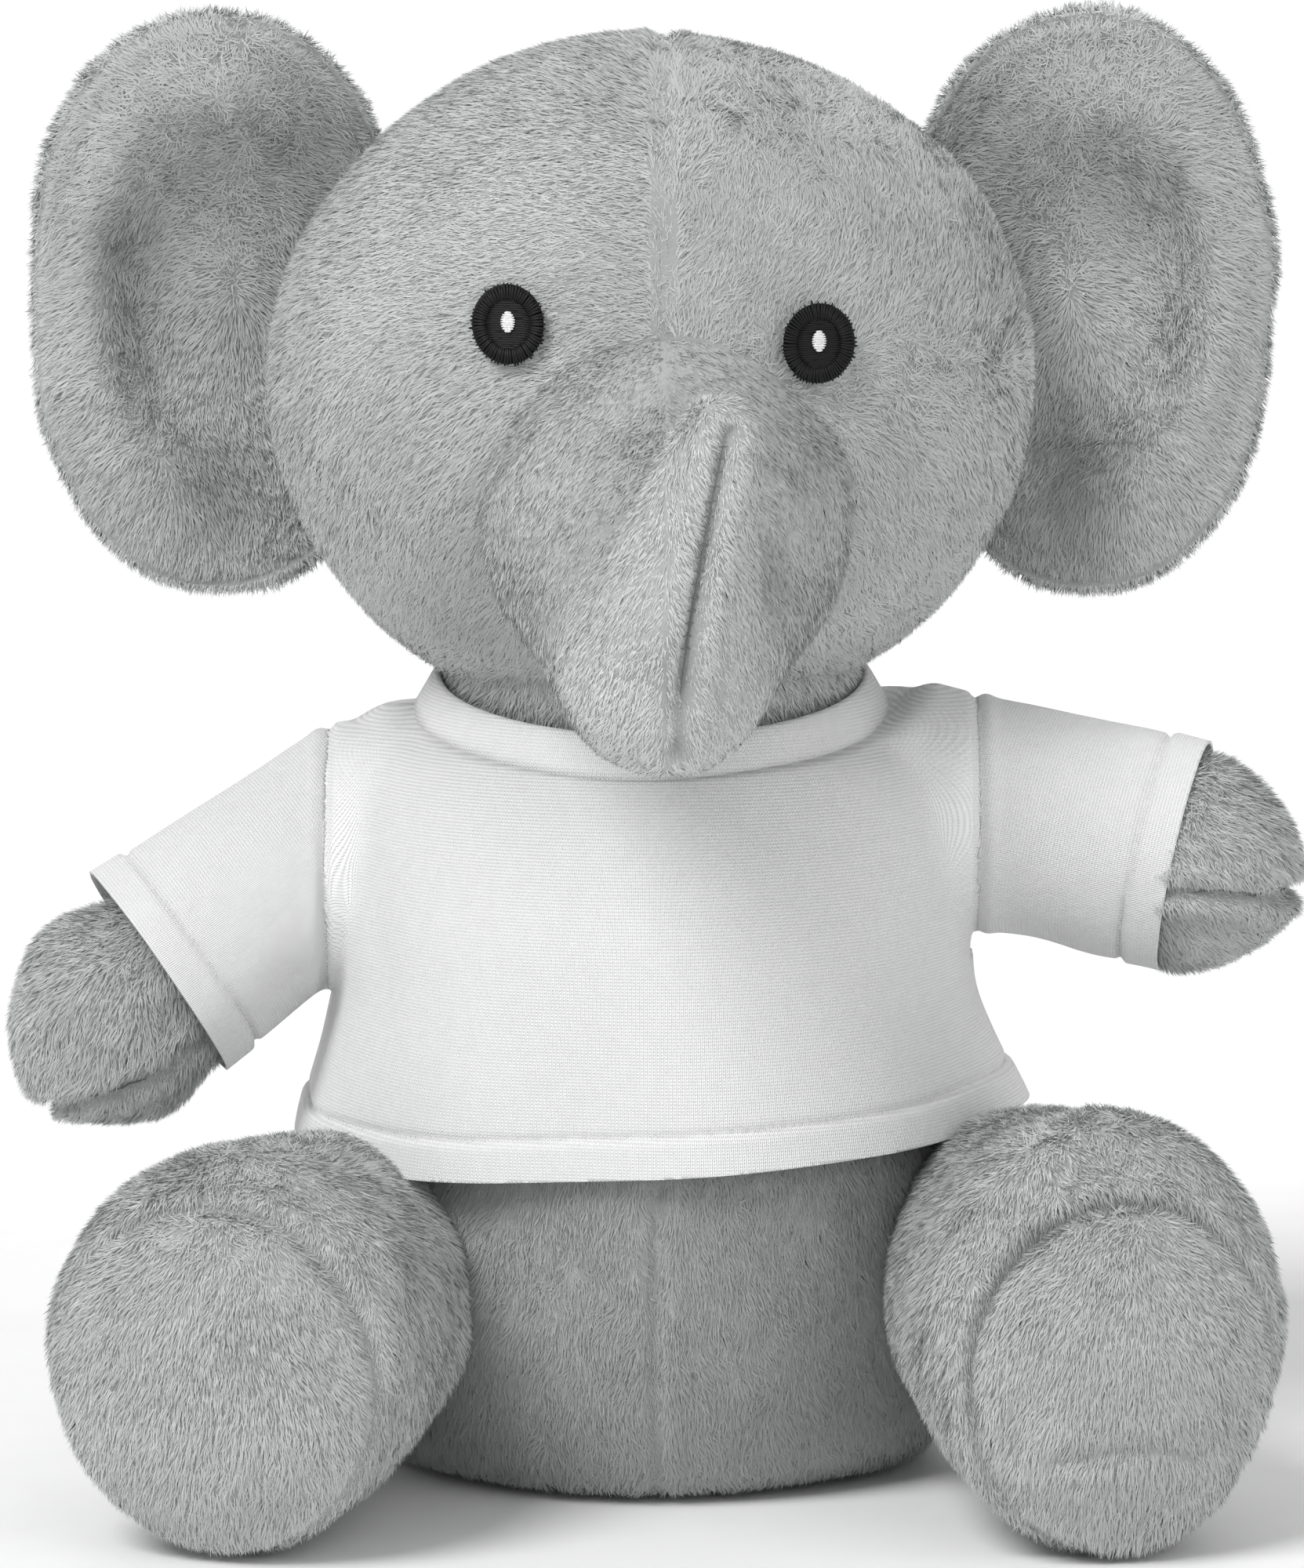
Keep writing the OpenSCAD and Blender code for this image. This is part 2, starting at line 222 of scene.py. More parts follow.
def apply_modifiers(obj):
    depsgraph = bpy.context.evaluated_depsgraph_get()
    mesh = bpy.data.meshes.new_from_object(obj.evaluated_get(depsgraph))
    obj.modifiers.clear()
    obj.data = mesh
    return obj


def remeshed(name, parts, voxel, rounds, materials=()):
    """One closed skin round some overlapping parts, smoothed where they meet."""
    verts, faces, base = [], [], 0
    for part in parts:
        co = coords(part)
        verts.append(co)
        faces += [tuple(base + v for v in poly.vertices) for poly in part.data.polygons]
        base += len(co)
        bpy.data.objects.remove(part)
    mesh = bpy.data.meshes.new(name)
    mesh.from_pydata(np.concatenate(verts).tolist(), [], faces)
    obj = bpy.data.objects.new(name, mesh)
    bpy.context.scene.collection.objects.link(obj)
    fuse = obj.modifiers.new("fuse", "REMESH")
    fuse.mode = "VOXEL"
    fuse.voxel_size = voxel
    relax = obj.modifiers.new("relax", "SMOOTH")
    relax.factor = 0.5
    relax.iterations = rounds
    bpy.context.view_layer.update()
    apply_modifiers(obj)
    dress(obj, materials)
    shade_smooth(obj)
    return obj


def ball(at, radius, scale=(1, 1, 1), segments=32):
    """An ellipsoid, as a part for remeshed()."""
    steps = segments // 2
    outline = [(-math.cos(math.pi * i / steps) * radius, math.sin(math.pi * i / steps) * radius)
               for i in range(steps + 1)]
    squeeze = np.array(scale, float)
    return lathe("part", outline, segments, at, np.diag(squeeze))


def distance_to_path(points, path):
    """Distance from each point to a polyline."""
    best = np.full(len(points), 1e9)
    path = np.asarray(path, float)
    for a, b in zip(path[:-1], path[1:]):
        d = b - a
        t = np.clip(((points - a) @ d) / max(d @ d, 1e-12), 0, 1)
        best = np.minimum(best, np.linalg.norm(points - (a + t[:, None] * d), axis=1))
    return best


def groove(obj, path, width, depth, puff=0.35):
    """Sinks a seam along a path, and raises the cloth a little on both sides of it."""
    co = coords(obj)
    d = distance_to_path(co, path)
    sink = depth * bell(d, width) - depth * puff * bell(d - 2.6 * width, 1.5 * width)
    set_coords(obj, co - normals(obj) * sink[:, None])


def puff(obj, at, radius, height):
    """Raises, or with a negative height dents, a soft round area."""
    co = coords(obj)
    d = np.linalg.norm(co - np.asarray(at), axis=1)
    set_coords(obj, co + normals(obj) * (height * bell(d, radius))[:, None])


def crumple(obj, size, height, shift=0.0):
    """Soft unevenness of stuffed cloth."""
    co = coords(obj)
    set_coords(obj, co + normals(obj) * (height * 2 * (value_noise(co, size, shift) - 0.5))[:, None])


# ---- materials


def principled(name, colour, roughness=0.9, sheen=0.0, sheen_roughness=0.5):
    mat = bpy.data.materials.new(name)
    mat.use_nodes = True
    shader = mat.node_tree.nodes["Principled BSDF"]
    shader.inputs["Base Color"].default_value = (*colour, 1)
    shader.inputs["Roughness"].default_value = roughness
    shader.inputs["Specular IOR Level"].default_value = 0.25
    shader.inputs["Sheen Weight"].default_value = sheen
    shader.inputs["Sheen Roughness"].default_value = sheen_roughness
    return mat, mat.node_tree, shader


def node(tree, kind, **settings):
    made = tree.nodes.new(kind)
    for key, value in settings.items():
        if hasattr(made, key):
            setattr(made, key, value)
        else:
            made.inputs[key.replace("_", " ")].default_value = value
    return made


def ramp(tree, source, stops):
    made = tree.nodes.new("ShaderNodeValToRGB")
    elements = made.color_ramp.elements
    while len(elements) < len(stops):
        elements.new(0.5)
    for element, (at, colour) in zip(elements, stops):
        element.position = at
        element.color = (*colour, 1)
    tree.links.new(source, made.inputs["Fac"])
    return made.outputs["Color"]


def painted(tree, shader, source, stops):
    tree.links.new(ramp(tree, source, stops), shader.inputs["Base Color"])


def on_object(tree, *textures):
    """Fixes textures to the object they are on."""
    place = tree.nodes.new("ShaderNodeTexCoord").outputs["Object"]
    for texture in textures:
        tree.links.new(place, texture.inputs["Vector"])


def bumped(tree, shader, height, distance):
    bump = node(tree, "ShaderNodeBump", Distance=distance, Strength=1.0)
    tree.links.new(height, bump.inputs["Height"])
    tree.links.new(bump.outputs["Normal"], shader.inputs["Normal"])


def plush_backing(name, colour):
    """The ground of the pile: mottled, and rough with the roots of the tufts."""
    mat, tree, shader = principled(name, colour, 0.95, 0.25)
    blotch = node(tree, "ShaderNodeTexNoise", Scale=90.0, Detail=5.0, Roughness=0.6)
    tuft = node(tree, "ShaderNodeTexNoise", Scale=1500.0, Detail=4.0, Roughness=0.7)
    on_object(tree, blotch, tuft)
    dark = [c * 0.72 for c in colour]
    painted(tree, shader, blotch.outputs["Fac"], [(0.3, dark), (0.7, colour)])
    bumped(tree, shader, tuft.outputs["Fac"], 0.5 * MM)
    return mat


GREY = (0.555, 0.574, 0.567)
PALE = (0.605, 0.626, 0.618)


def pile_set(name, colour):
    """Five lit and shaded copies of one fibre colour, for painted light and shade and for tufts that differ
    in tone at random: pile seen end-on looks dark, and pile brushed flat looks bright.
    """
    shades = (0.72, 0.85, 0.95, 1.04, 1.12)
    return [principled(f"{name}_{i}", [min(1, c * s) for c in colour], 0.75, 0.35)[0]
            for i, s in enumerate(shades)]


def jersey(name):
    """Single jersey: columns of small V stitches, slightly uneven."""
    light, dark = (0.915, 0.915, 0.92), (0.875, 0.875, 0.88)
    mat, tree, shader = principled(name, light, 0.85, 0.15)
    uv = tree.nodes.new("ShaderNodeUVMap").outputs["UV"]
    split = tree.nodes.new("ShaderNodeSeparateXYZ")
    tree.links.new(uv, split.inputs["Vector"])

    def maths(operation, a, b=None):
        made = node(tree, "ShaderNodeMath", operation=operation)
        for socket, value in zip(made.inputs, (a, b)):
            if value is None:
                continue
            if isinstance(value, (int, float)):
                socket.default_value = value
            else:
                tree.links.new(value, socket)
        return made.outputs[0]

    wale = 0.63 * MM
    course = 0.5 * MM
    column = maths("MULTIPLY", split.outputs["X"], 1 / wale)
    within = maths("ABSOLUTE", maths("SUBTRACT", maths("FRACT", column), 0.5))
    row = maths("ADD", maths("MULTIPLY", split.outputs["Y"], 1 / course), maths("MULTIPLY", within, 1.3))
    stitch = maths("SINE", maths("MULTIPLY", row, TAU))
    rib = maths("COSINE", maths("MULTIPLY", maths("SUBTRACT", within, 0.25), 2 * TAU))
    height = maths("ADD", maths("MULTIPLY", rib, 0.6), maths("MULTIPLY", stitch, 0.3))
    uneven = node(tree, "ShaderNodeTexNoise", Scale=420.0, Detail=4.0, Roughness=0.6)
    on_object(tree, uneven)
    both = maths("ADD", height, maths("MULTIPLY", uneven.outputs["Fac"], 0.6))
    bumped(tree, shader, both, 0.11 * MM)
    painted(tree, shader, uneven.outputs["Fac"], [(0.3, dark), (0.7, light)])
    return mat


def thread(name, colour, roughness):
    """Embroidery thread: satin, with the twist of its plies."""
    mat, tree, shader = principled(name, colour, roughness)
    twist = node(tree, "ShaderNodeTexNoise", Scale=4200.0, Detail=2.0)
    on_object(tree, twist)
    bumped(tree, shader, twist.outputs["Fac"], 0.06 * MM)
    dark = [c * 0.7 for c in colour]
    painted(tree, shader, twist.outputs["Fac"], [(0.35, dark), (0.65, colour)])
    return mat


# The backings are darker than their piles: painted shade down among the roots of the tufts.
GROUND = plush_backing("plush_ground", (0.46, 0.478, 0.471))
GROUND_PALE = plush_backing("plush_ground_pale", (0.505, 0.524, 0.517))
PILE = pile_set("pile", GREY)
PILE_PALE = pile_set("pile_pale", PALE)
JERSEY = jersey("jersey")
SEAM_THREAD = thread("seam_thread", (0.19, 0.197, 0.195), 0.7)
EYE_THREAD = thread("eye_thread", (0.004, 0.004, 0.005), 0.5)
GLINT_THREAD = thread("glint_thread", (0.85, 0.85, 0.85), 0.5)

# ---- pile


def surface_samples(obj, density, rng):
    """Random points over a mesh, with the normal at each; density is per square millimetre."""
    mesh = obj.data
    mesh.calc_loop_triangles()
    tris = np.zeros(len(mesh.loop_triangles) * 3, np.int32)
    mesh.loop_triangles.foreach_get("vertices", tris)
    tris = tris.reshape(-1, 3)
    co, no = coords(obj), normals(obj)
    a, b, c = co[tris[:, 0]], co[tris[:, 1]], co[tris[:, 2]]
    area = np.linalg.norm(np.cross(b - a, c - a), axis=1) / 2
    count = int(area.sum() / MM ** 2 * density)
    pick = np.searchsorted(np.cumsum(area), rng.random(count) * area.sum())
    pick = np.minimum(pick, len(tris) - 1)
    u, v = rng.random(count), rng.random(count)
    flip = u + v > 1
    u[flip], v[flip] = 1 - u[flip], 1 - v[flip]
    w = 1 - u - v
    t = tris[pick]
    points = co[t[:, 0]] * w[:, None] + co[t[:, 1]] * u[:, None] + co[t[:, 2]] * v[:, None]
    normal = unit(no[t[:, 0]] * w[:, None] + no[t[:, 1]] * u[:, None] + no[t[:, 2]] * v[:, None])
    return points, normal


def grow_pile(skin, name, nap, seed, materials, length=2.4 * MM, width=0.3 * MM, density=7.0, lean=1.12,
              keep=None, seams=(), rough=0.5, painted_shading=None):
    """A coat of tapered tufts on a skin, shorter at the seams. nap(points, normals) gives the way it is
    brushed, keep(points) is true where it shows, the last argument, a function of the points, paints light
    and shade by making it so many shades lighter or darker, rough is how far the tufts stray, and density is
    per square millimetre."""
    rng = np.random.default_rng(seed)
    thinned = 1
    points, normal = surface_samples(skin, density * thinned, rng)
    if keep is not None:
        shown = keep(points)
        points, normal = points[shown], normal[shown]
    count = len(points)
    flow = nap(points, normal) + 1.1 * rough * noise_vector(points, 11 * MM, seed) \
        + 1.5 * rough * noise_vector(points, 3.2 * MM, seed + 3.3) \
        + 1.5 * rough * noise_vector(points, 1.3 * MM, seed + 8.1) + 0.22 * rng.normal(size=(count, 3))
    flow = unit(flow - normal * np.sum(flow * normal, axis=1, keepdims=True))
    lock = value_noise(points, 1.5 * MM, seed + 1.9)
    tilt = lean * (0.8 + 0.4 * value_noise(points, 12 * MM, seed + 0.7)) + 0.5 * (lock - 0.5)
    tilt = np.clip(tilt + 0.12 * rng.normal(size=count), 0.1, 1.42)[:, None]
    reach = length * (0.65 + 0.5 * lock + 0.15 * rng.random(count))
    for path in seams:
        reach = reach * (1 - 0.6 * bell(distance_to_path(points, path), 1.3 * MM))
    way = unit(normal * np.cos(tilt) + flow * np.sin(tilt))
    side = unit(np.cross(flow, normal) + 0.4 * rng.normal(size=(count, 3)))
    half = (width * (0.7 + 0.6 * rng.random(count)) / 2)[:, None]
    root = points - normal * 0.2 * MM
    tip = root + way * reach[:, None]
    verts = np.stack([root - side * half, root + side * half, tip], axis=1).reshape(-1, 3)
    tris = np.arange(count * 3).reshape(-1, 3)
    # Painted light and shade, partly random tone: the 13 mm blotches stand in for patches of nap that catch
    # the light differently, clumps and single tufts differ in tone at random, and the caller's function then
    # adds its painted light and shade.
    shade = 1.0 + 1.9 * value_noise(points, 13 * MM, seed + 5.1) + 0.9 * lock + 0.5 * rng.random(count)
    if painted_shading is not None:
        shade = shade + painted_shading(points)
    level = np.clip(np.floor(shade), 0, 4)
    coat = new_mesh(name, verts, tris, materials, level)
    facing = np.repeat(unit(np.cross(verts[1::3] - verts[0::3], verts[2::3] - verts[0::3])), 3, axis=0)
    steady = np.repeat(normal, 3, axis=0)
    facing = facing * np.sign(np.sum(facing * steady, axis=1, keepdims=True) + 1e-9)
    coat.data.normals_split_custom_set_from_vertices(unit(0.74 * steady + 0.26 * facing).tolist())
    return coat


def grown_from(pieces, body, onto=None):
    """Attaches a skin and what is on it to the body they move with, or, when onto is given, only bakes their
    placement into their meshes.
    """
    for piece in pieces:
        if onto:
            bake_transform(piece)
        else:
            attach(piece, body)


DOWN = np.array([0, 0, -1.0])


def brushed(direction):
    """A nap that lies the same way everywhere."""
    way = np.asarray(direction, float)
    return lambda points, normal: np.ones((len(points), 1)) * way


# ---- camera, light and floor


def set_stage():
    """Camera, white paper floor, white room and three suns, as the photograph was lit from the left."""
    aim = np.array([0, 0, 107.1 * MM])
    distance = 1.4
    elevation = math.radians(8)
    frame_height = 0.25
    camera = bpy.data.cameras.new("camera")
    camera.sensor_fit = "VERTICAL"
    camera.sensor_height = 24
    camera.lens = 24 * distance / frame_height
    camera.clip_end = 20
    eye = bpy.data.objects.new("camera", camera)
    toward = np.array([0, -math.cos(elevation), math.sin(elevation)])
    eye.location = aim + distance * toward
    eye.rotation_euler = Vector(-toward).to_track_quat("-Z", "Y").to_euler()
    bpy.context.scene.collection.objects.link(eye)
    bpy.context.scene.camera = eye

    paper, tree, shader = principled("floor_paper", (0.92, 0.92, 0.92), 0.9)
    grain = node(tree, "ShaderNodeTexNoise", Scale=60.0, Detail=3.0)
    on_object(tree, grain)
    painted(tree, shader, grain.outputs["Fac"], [(0.3, (0.92, 0.92, 0.92)), (0.7, (0.94, 0.94, 0.94))])
    size = 6
    corners = [[-size, -size, 0], [size, -size, 0], [size, size, 0], [-size, size, 0]]
    floor = new_mesh("floor", corners, np.array([[0, 1, 2, 3]]), [paper], smooth=False)
    floor.location.z = -0.4 * MM

    world = bpy.data.worlds.new("studio")
    world.use_nodes = True
    world.node_tree.nodes["Background"].inputs["Color"].default_value = (1, 1, 1, 1)
    world.node_tree.nodes["Background"].inputs["Strength"].default_value = 0.45
    bpy.context.scene.world = world
    suns = [("key", (-0.7, -0.75, 1.1), 2.1, 28),
            ("fill", (0.9, -1.1, 0.6), 0.75, 60),
            ("rim", (0.1, 0.9, 0.9), 0.5, 50)]
    for name, source, strength, spread in suns:
        lamp = bpy.data.lights.new(name, "SUN")
        lamp.energy = strength
        lamp.angle = math.radians(spread)
        obj = bpy.data.objects.new(name, lamp)
        obj.rotation_euler = Vector(source).to_track_quat("Z", "Y").to_euler()
        bpy.context.scene.collection.objects.link(obj)
    bpy.context.scene.view_settings.view_transform = "Standard"


set_stage()

# ---- head

HEAD_LOW, HEAD_HIGH = span("head_panel_left", "head_panel_right", "head_back_panel")
HEAD_SIZE = (HEAD_HIGH - HEAD_LOW) / 2
HEAD_SIZE[2] = HEAD_SIZE[1]        # as tall as it is deep; the neck is cut out of its underside
HEAD = (HEAD_LOW + HEAD_HIGH) / 2
HEAD[2] = HEAD_HIGH[2] - HEAD_SIZE[2]
PILE_DEPTH = 1.0 * MM    # how far the backing lies under the CAD surface, so that the pile reaches it
BEND = pivot("trunk_curl")
TIP_LOW, TIP_HIGH = span("trunk_panel_left", "trunk_panel_right")


def on_head(x, z, out=0.0):
    """A point of the face at this x and z."""
    size = HEAD_SIZE - PILE_DEPTH + out
    inside = 1 - ((x - HEAD[0]) / size[0]) ** 2 - ((z - HEAD[2]) / size[2]) ** 2
    return np.array([x, HEAD[1] - size[1] * math.sqrt(max(inside, 0.0)), z])


def head_seam():
    """The seam over the top of the head, from the brow to the nape."""
    turn = np.radians(np.linspace(-22, 200, 60))
    size = HEAD_SIZE - PILE_DEPTH
    x = np.full(len(turn), HEAD[0] + 2 * MM)
    return np.stack([x, HEAD[1] - size[1] * np.cos(turn), HEAD[2] + size[2] * np.sin(turn)], axis=1)


def head_nap(points, normal):
    """Brushed to the left on the left of the forehead, up and rougher on the right, down the cheeks."""
    x = (points[:, 0] - HEAD[0]) / HEAD_SIZE[0]
    z = (points[:, 2] - HEAD[2]) / HEAD_SIZE[2]
    left = smoothstep(0.05, -0.02, x)[:, None]
    top = smoothstep(-0.2, 0.3, z)[:, None]
    sideways = np.array([-1.0, 0, -0.2]) * left + np.array([0.25, 0, 0.9]) * (1 - left)
    down = DOWN + np.stack([0.6 * np.sign(x), 0 * x, 0 * x], axis=1)
    return sideways * top + down * (1 - top)


def build_head():
    size = HEAD_SIZE - PILE_DEPTH
    steps = 150
    outline = [(-size[0] * math.cos(math.pi * i / steps), size[1] * math.sin(math.pi * i / steps))
               for i in range(steps + 1)]
    axes = np.array([[0, 1, 0], [0, 0, 1], [1, 0, 0]], float)
    skin = lathe("head_skin", outline, 260, HEAD, axes, [GROUND])
    crumple(skin, 26 * MM, 0.7 * MM, 2.0)
    for side in (-1, 1):
        puff(skin, on_head(side * 37 * MM, HEAD[2] - 20 * MM), 13 * MM, 1.0 * MM)
        puff(skin, on_head(side * 31 * MM, HEAD[2] + 2 * MM), 8 * MM, -1.1 * MM)
    seam = head_seam()
    groove(skin, seam, 0.8 * MM, 0.9 * MM)

    def shown(points, half):
        muzzle = np.hypot(points[:, 0] - BEND[0], points[:, 2] - (HEAD[2] - 14 * MM)) < 25 * MM
        return ~(muzzle & (points[:, 1] < HEAD[1])) & (half * (points[:, 0] - HEAD[0]) >= 0)

    def painted_shading(points):
        # Painted light and shade: the left of the brow is painted lighter and the right of it darker, as its
        # lit and shaded sides.
        shaded_right_brow = bell(np.linalg.norm(points - on_head(22 * MM, HEAD[2] + 30 * MM), axis=1), 24 * MM)
        lit_left_brow = bell(np.linalg.norm(points - on_head(-25 * MM, HEAD[2] + 28 * MM), axis=1), 30 * MM)
        return 0.9 * lit_left_brow - 1.1 * shaded_right_brow

    coats = [grow_pile(skin, f"head_{side}_pile", head_nap, 11 + half, PILE, seams=[seam], rough=roughness,
                       painted_shading=painted_shading, keep=lambda p, half=half: shown(p, half))
             for side, half, roughness in (("left", -1, 0.35), ("right", 1, 0.7))]
    grown_from([skin, *coats], "head")
    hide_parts("head_panel_left", "head_panel_right", "head_back_panel", "head_stuffing")


# ---- muzzle and trunk


def curve_through(stations, steps=9):
    """Points and radii along a smooth line through (point, radius) stations."""
    made = []
    for k in range(len(stations) - 1):
        p0 = stations[max(k - 1, 0)][0]
        p1, r1 = stations[k]
        p2, r2 = stations[k + 1]
        p3 = stations[min(k + 2, len(stations) - 1)][0]
        for t in np.linspace(0, 1, steps, endpoint=False):
            point = 0.5 * (2 * p1 + (p2 - p0) * t + (2 * p0 - 5 * p1 + 4 * p2 - p3) * t ** 2
                           + (3 * p1 - p0 - 3 * p2 + p3) * t ** 3)
            made.append((point, r1 + (r2 - r1) * t))
    made.append(stations[-1])
    return made


def trunk_lines():
    """The muzzle from inside the face to the bend, and the trunk from the bend up to its tip."""
    tip = np.array([TIP_HIGH[0] - 6.8 * MM, TIP_LOW[1] + 7.5 * MM, TIP_HIGH[2] - 4.4 * MM])
    muzzle = [
        (np.array([BEND[0], HEAD[1] - 32 * MM, HEAD[2] - 13 * MM]), 31.5 * MM),
        (np.array([BEND[0], HEAD[1] - 48 * MM, HEAD[2] - 18 * MM]), 29.0 * MM),
        (np.array([BEND[0], HEAD[1] - 66 * MM, HEAD[2] - 26 * MM]), 23.0 * MM),
        (BEND + np.array([0, 2, -0.8]) * MM, 16.6 * MM),
    ]
    trunk = [
        (BEND + np.array([0, 0, -0.8]) * MM, 16.6 * MM),
        (BEND * 0.75 + tip * 0.25 + np.array([-0.6, -2.5, 0]) * MM, 14.0 * MM),
        (BEND * 0.4 + tip * 0.6 + np.array([-0.4, -1.5, 0]) * MM, 10.4 * MM),
        (tip, 6.9 * MM),
    ]
    return curve_through(muzzle), curve_through(trunk)


def build_trunk():
    muzzle, trunk = trunk_lines()
    parts = [ball(p, r - PILE_DEPTH, segments=28) for p, r in muzzle + trunk]
    skin = remeshed("trunk_skin", parts, 0.8 * MM, 6, [GROUND_PALE])
    seam = np.array([p + unit(np.array([0.12, -1.0, -0.95 + 1.2 * t])) * (r - PILE_DEPTH)
                     for (p, r), t in zip(trunk, np.linspace(0, 1, len(trunk)))])
    groove(skin, seam, 1.2 * MM, 1.7 * MM, puff=0.55)
    top_seam = np.array([p + np.array([0, -0.2, 0.98]) * (r - PILE_DEPTH) for p, r in muzzle[:20]])
    groove(skin, top_seam, 0.8 * MM, 0.5 * MM)
    crumple(skin, 15 * MM, 0.6 * MM, 4.0)
    face = HEAD[1] - 30 * MM
    flat = np.array([1, 0, 1])

    def nap(points, normal):
        up = smoothstep(BEND[1] + 4 * MM, BEND[1] - 6 * MM, points[:, 1])[:, None]
        aside = np.sign(points[:, 0] - BEND[0])[:, None] * np.array([0.5, 0, 0])
        return (np.array([0, -0.6, -1.0]) + aside) * (1 - up) + (DOWN + aside) * up

    def painted_shading(points):
        # Painted light and shade: the trunk is painted lighter except on its right side, which comes out a
        # little darker, and a painted shadow of the trunk lies on the muzzle round it.
        on_trunk = smoothstep(BEND[1] + 3 * MM, BEND[1] - 5 * MM, points[:, 1])
        right = smoothstep(0, 12 * MM, points[:, 0] - BEND[0] - 3 * MM)
        spine = np.array([p for p, r in trunk]) * flat
        trunk_shadow = bell(distance_to_path(points * flat, spine), 19 * MM) * (1 - on_trunk)
        return 1.3 * on_trunk * (1 - 1.1 * right) - 2.2 * trunk_shadow

    coat = grow_pile(skin, "trunk_pile", nap, 23, PILE_PALE, length=2.0 * MM, seams=[seam], rough=0.3,
                     lean=1.25, painted_shading=painted_shading, keep=lambda p: p[:, 1] < face)
    stitches = [(seam[6:-2] + np.array([0, 0.6, 0]) * MM, np.array([0, -1.0, 0.2]))]
    for k in range(10, len(seam) - 2):
        across = np.array([0.8 * MM, 0.3 * MM, 0])
        centre = seam[k] + np.array([0, 0.5, 0]) * MM
        stitches.append((np.array([centre - across, centre, centre + across]), np.array([0, -1.0, 0.2])))
    sewn = tubes("trunk_seam_stitches", stitches, 0.15 * MM, [SEAM_THREAD])
    grown_from([skin, coat, sewn], "head", onto="trunk")
    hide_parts("muzzle_panel", "muzzle_stuffing", "trunk_panel_left", "trunk_panel_right",
                "trunk_stuffing")


# ---- eyes


def tubes(name, paths, radius, materials, sides=6):
    """Short threads, each along a path of points, flattened against the surface they lie on."""
    verts, faces = [], []
    for path, up in paths:
        path = np.asarray(path, float)
        way = unit(np.gradient(path, axis=0))
        across = unit(np.cross(way, up))
        rise = unit(np.cross(across, way))
        base = len(verts)
        for k, p in enumerate(path):
            thin = 0.35 if k in (0, len(path) - 1) else 1.0
            for s in range(sides):
                a = TAU * s / sides
                verts.append(p + radius * thin * (math.cos(a) * across[k] + 0.7 * math.sin(a) * rise[k]))
        for k in range(len(path) - 1):
            for s in range(sides):
                n = (s + 1) % sides
                faces.append([base + k * sides + s, base + k * sides + n,
                              base + (k + 1) * sides + n, base + (k + 1) * sides + s])
    return new_mesh(name, np.array(verts), np.array(faces), materials)


def build_eye(side):
    """Satin stitch all round the rim, flat stitches in the middle, and a small white highlight."""
    low, high = span(f"eye_{side}")
    x, z = (low[0] + high[0]) / 2, (low[2] + high[2]) / 2
    w, h = (high[0] - low[0]) / 2, (high[2] - low[2]) / 2
    lift = PILE_DEPTH + 0.9 * MM

    def spot(u, v, rise=0.0):
        return on_head(x + u * w, z + v * h, lift + rise)

    up = unit(spot(0, 0) - HEAD)
    rng = np.random.default_rng(31 if side == "left" else 32)
    threads = []
    stitches = 68
    for k in range(stitches):
        a = TAU * (k + 0.3 * rng.random()) / stitches
        radii = np.linspace(0.58, 1.0 + 0.03 * rng.normal(), 6)
        swell = 0.55 * MM * np.sin(np.pi * np.linspace(0.12, 0.88, 6))
        threads.append(([spot(r * math.cos(a), r * math.sin(a), s) for r, s in zip(radii, swell)], up))
    rows = 22
    for k in range(rows):
        v = -0.6 + 1.2 * (k + 0.5) / rows
        reach = math.sqrt(max(0.62 ** 2 - v ** 2, 0.01))
        threads.append(([spot(t, v, 0.2 * MM * rng.random()) for t in np.linspace(-reach, reach, 7)], up))
    eye = tubes(f"eye_{side}_stitches", threads, 0.27 * MM, [EYE_THREAD])
    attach(eye, "head")
    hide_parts(f"eye_{side}")

    turns, rings = 40, 8
    pad_points = np.array([spot(r * math.cos(a), r * math.sin(a), -0.2 * MM)
                           for r in np.linspace(0.02, 0.97, rings) for a in np.arange(turns) / turns * TAU])
    towards_viewer = ring_quads(rings, turns)[:, [0, 3, 2, 1]]
    pad = new_mesh(f"eye_{side}_underlay", pad_points, towards_viewer, [EYE_THREAD])
    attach(pad, "head")

    glint_low, glint_high = span(f"eye_highlight_{side}")
    at = (glint_low + glint_high) / 2
    half = (glint_high - glint_low) / 2
    rows = 9
    threads = []
    for k in range(rows):
        v = -1 + 2 * (k + 0.5) / rows
        reach = half[0] * math.sqrt(max(1 - v * v, 0.05))
        threads.append(([on_head(at[0] + t, at[2] + v * half[2], lift + 0.5 * MM)
                         for t in np.linspace(-reach, reach, 5)], up))
    glint = tubes(f"eye_highlight_{side}_stitches", threads, 0.22 * MM, [GLINT_THREAD])
    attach(glint, "head")
    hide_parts(f"eye_highlight_{side}")


# ---- ears


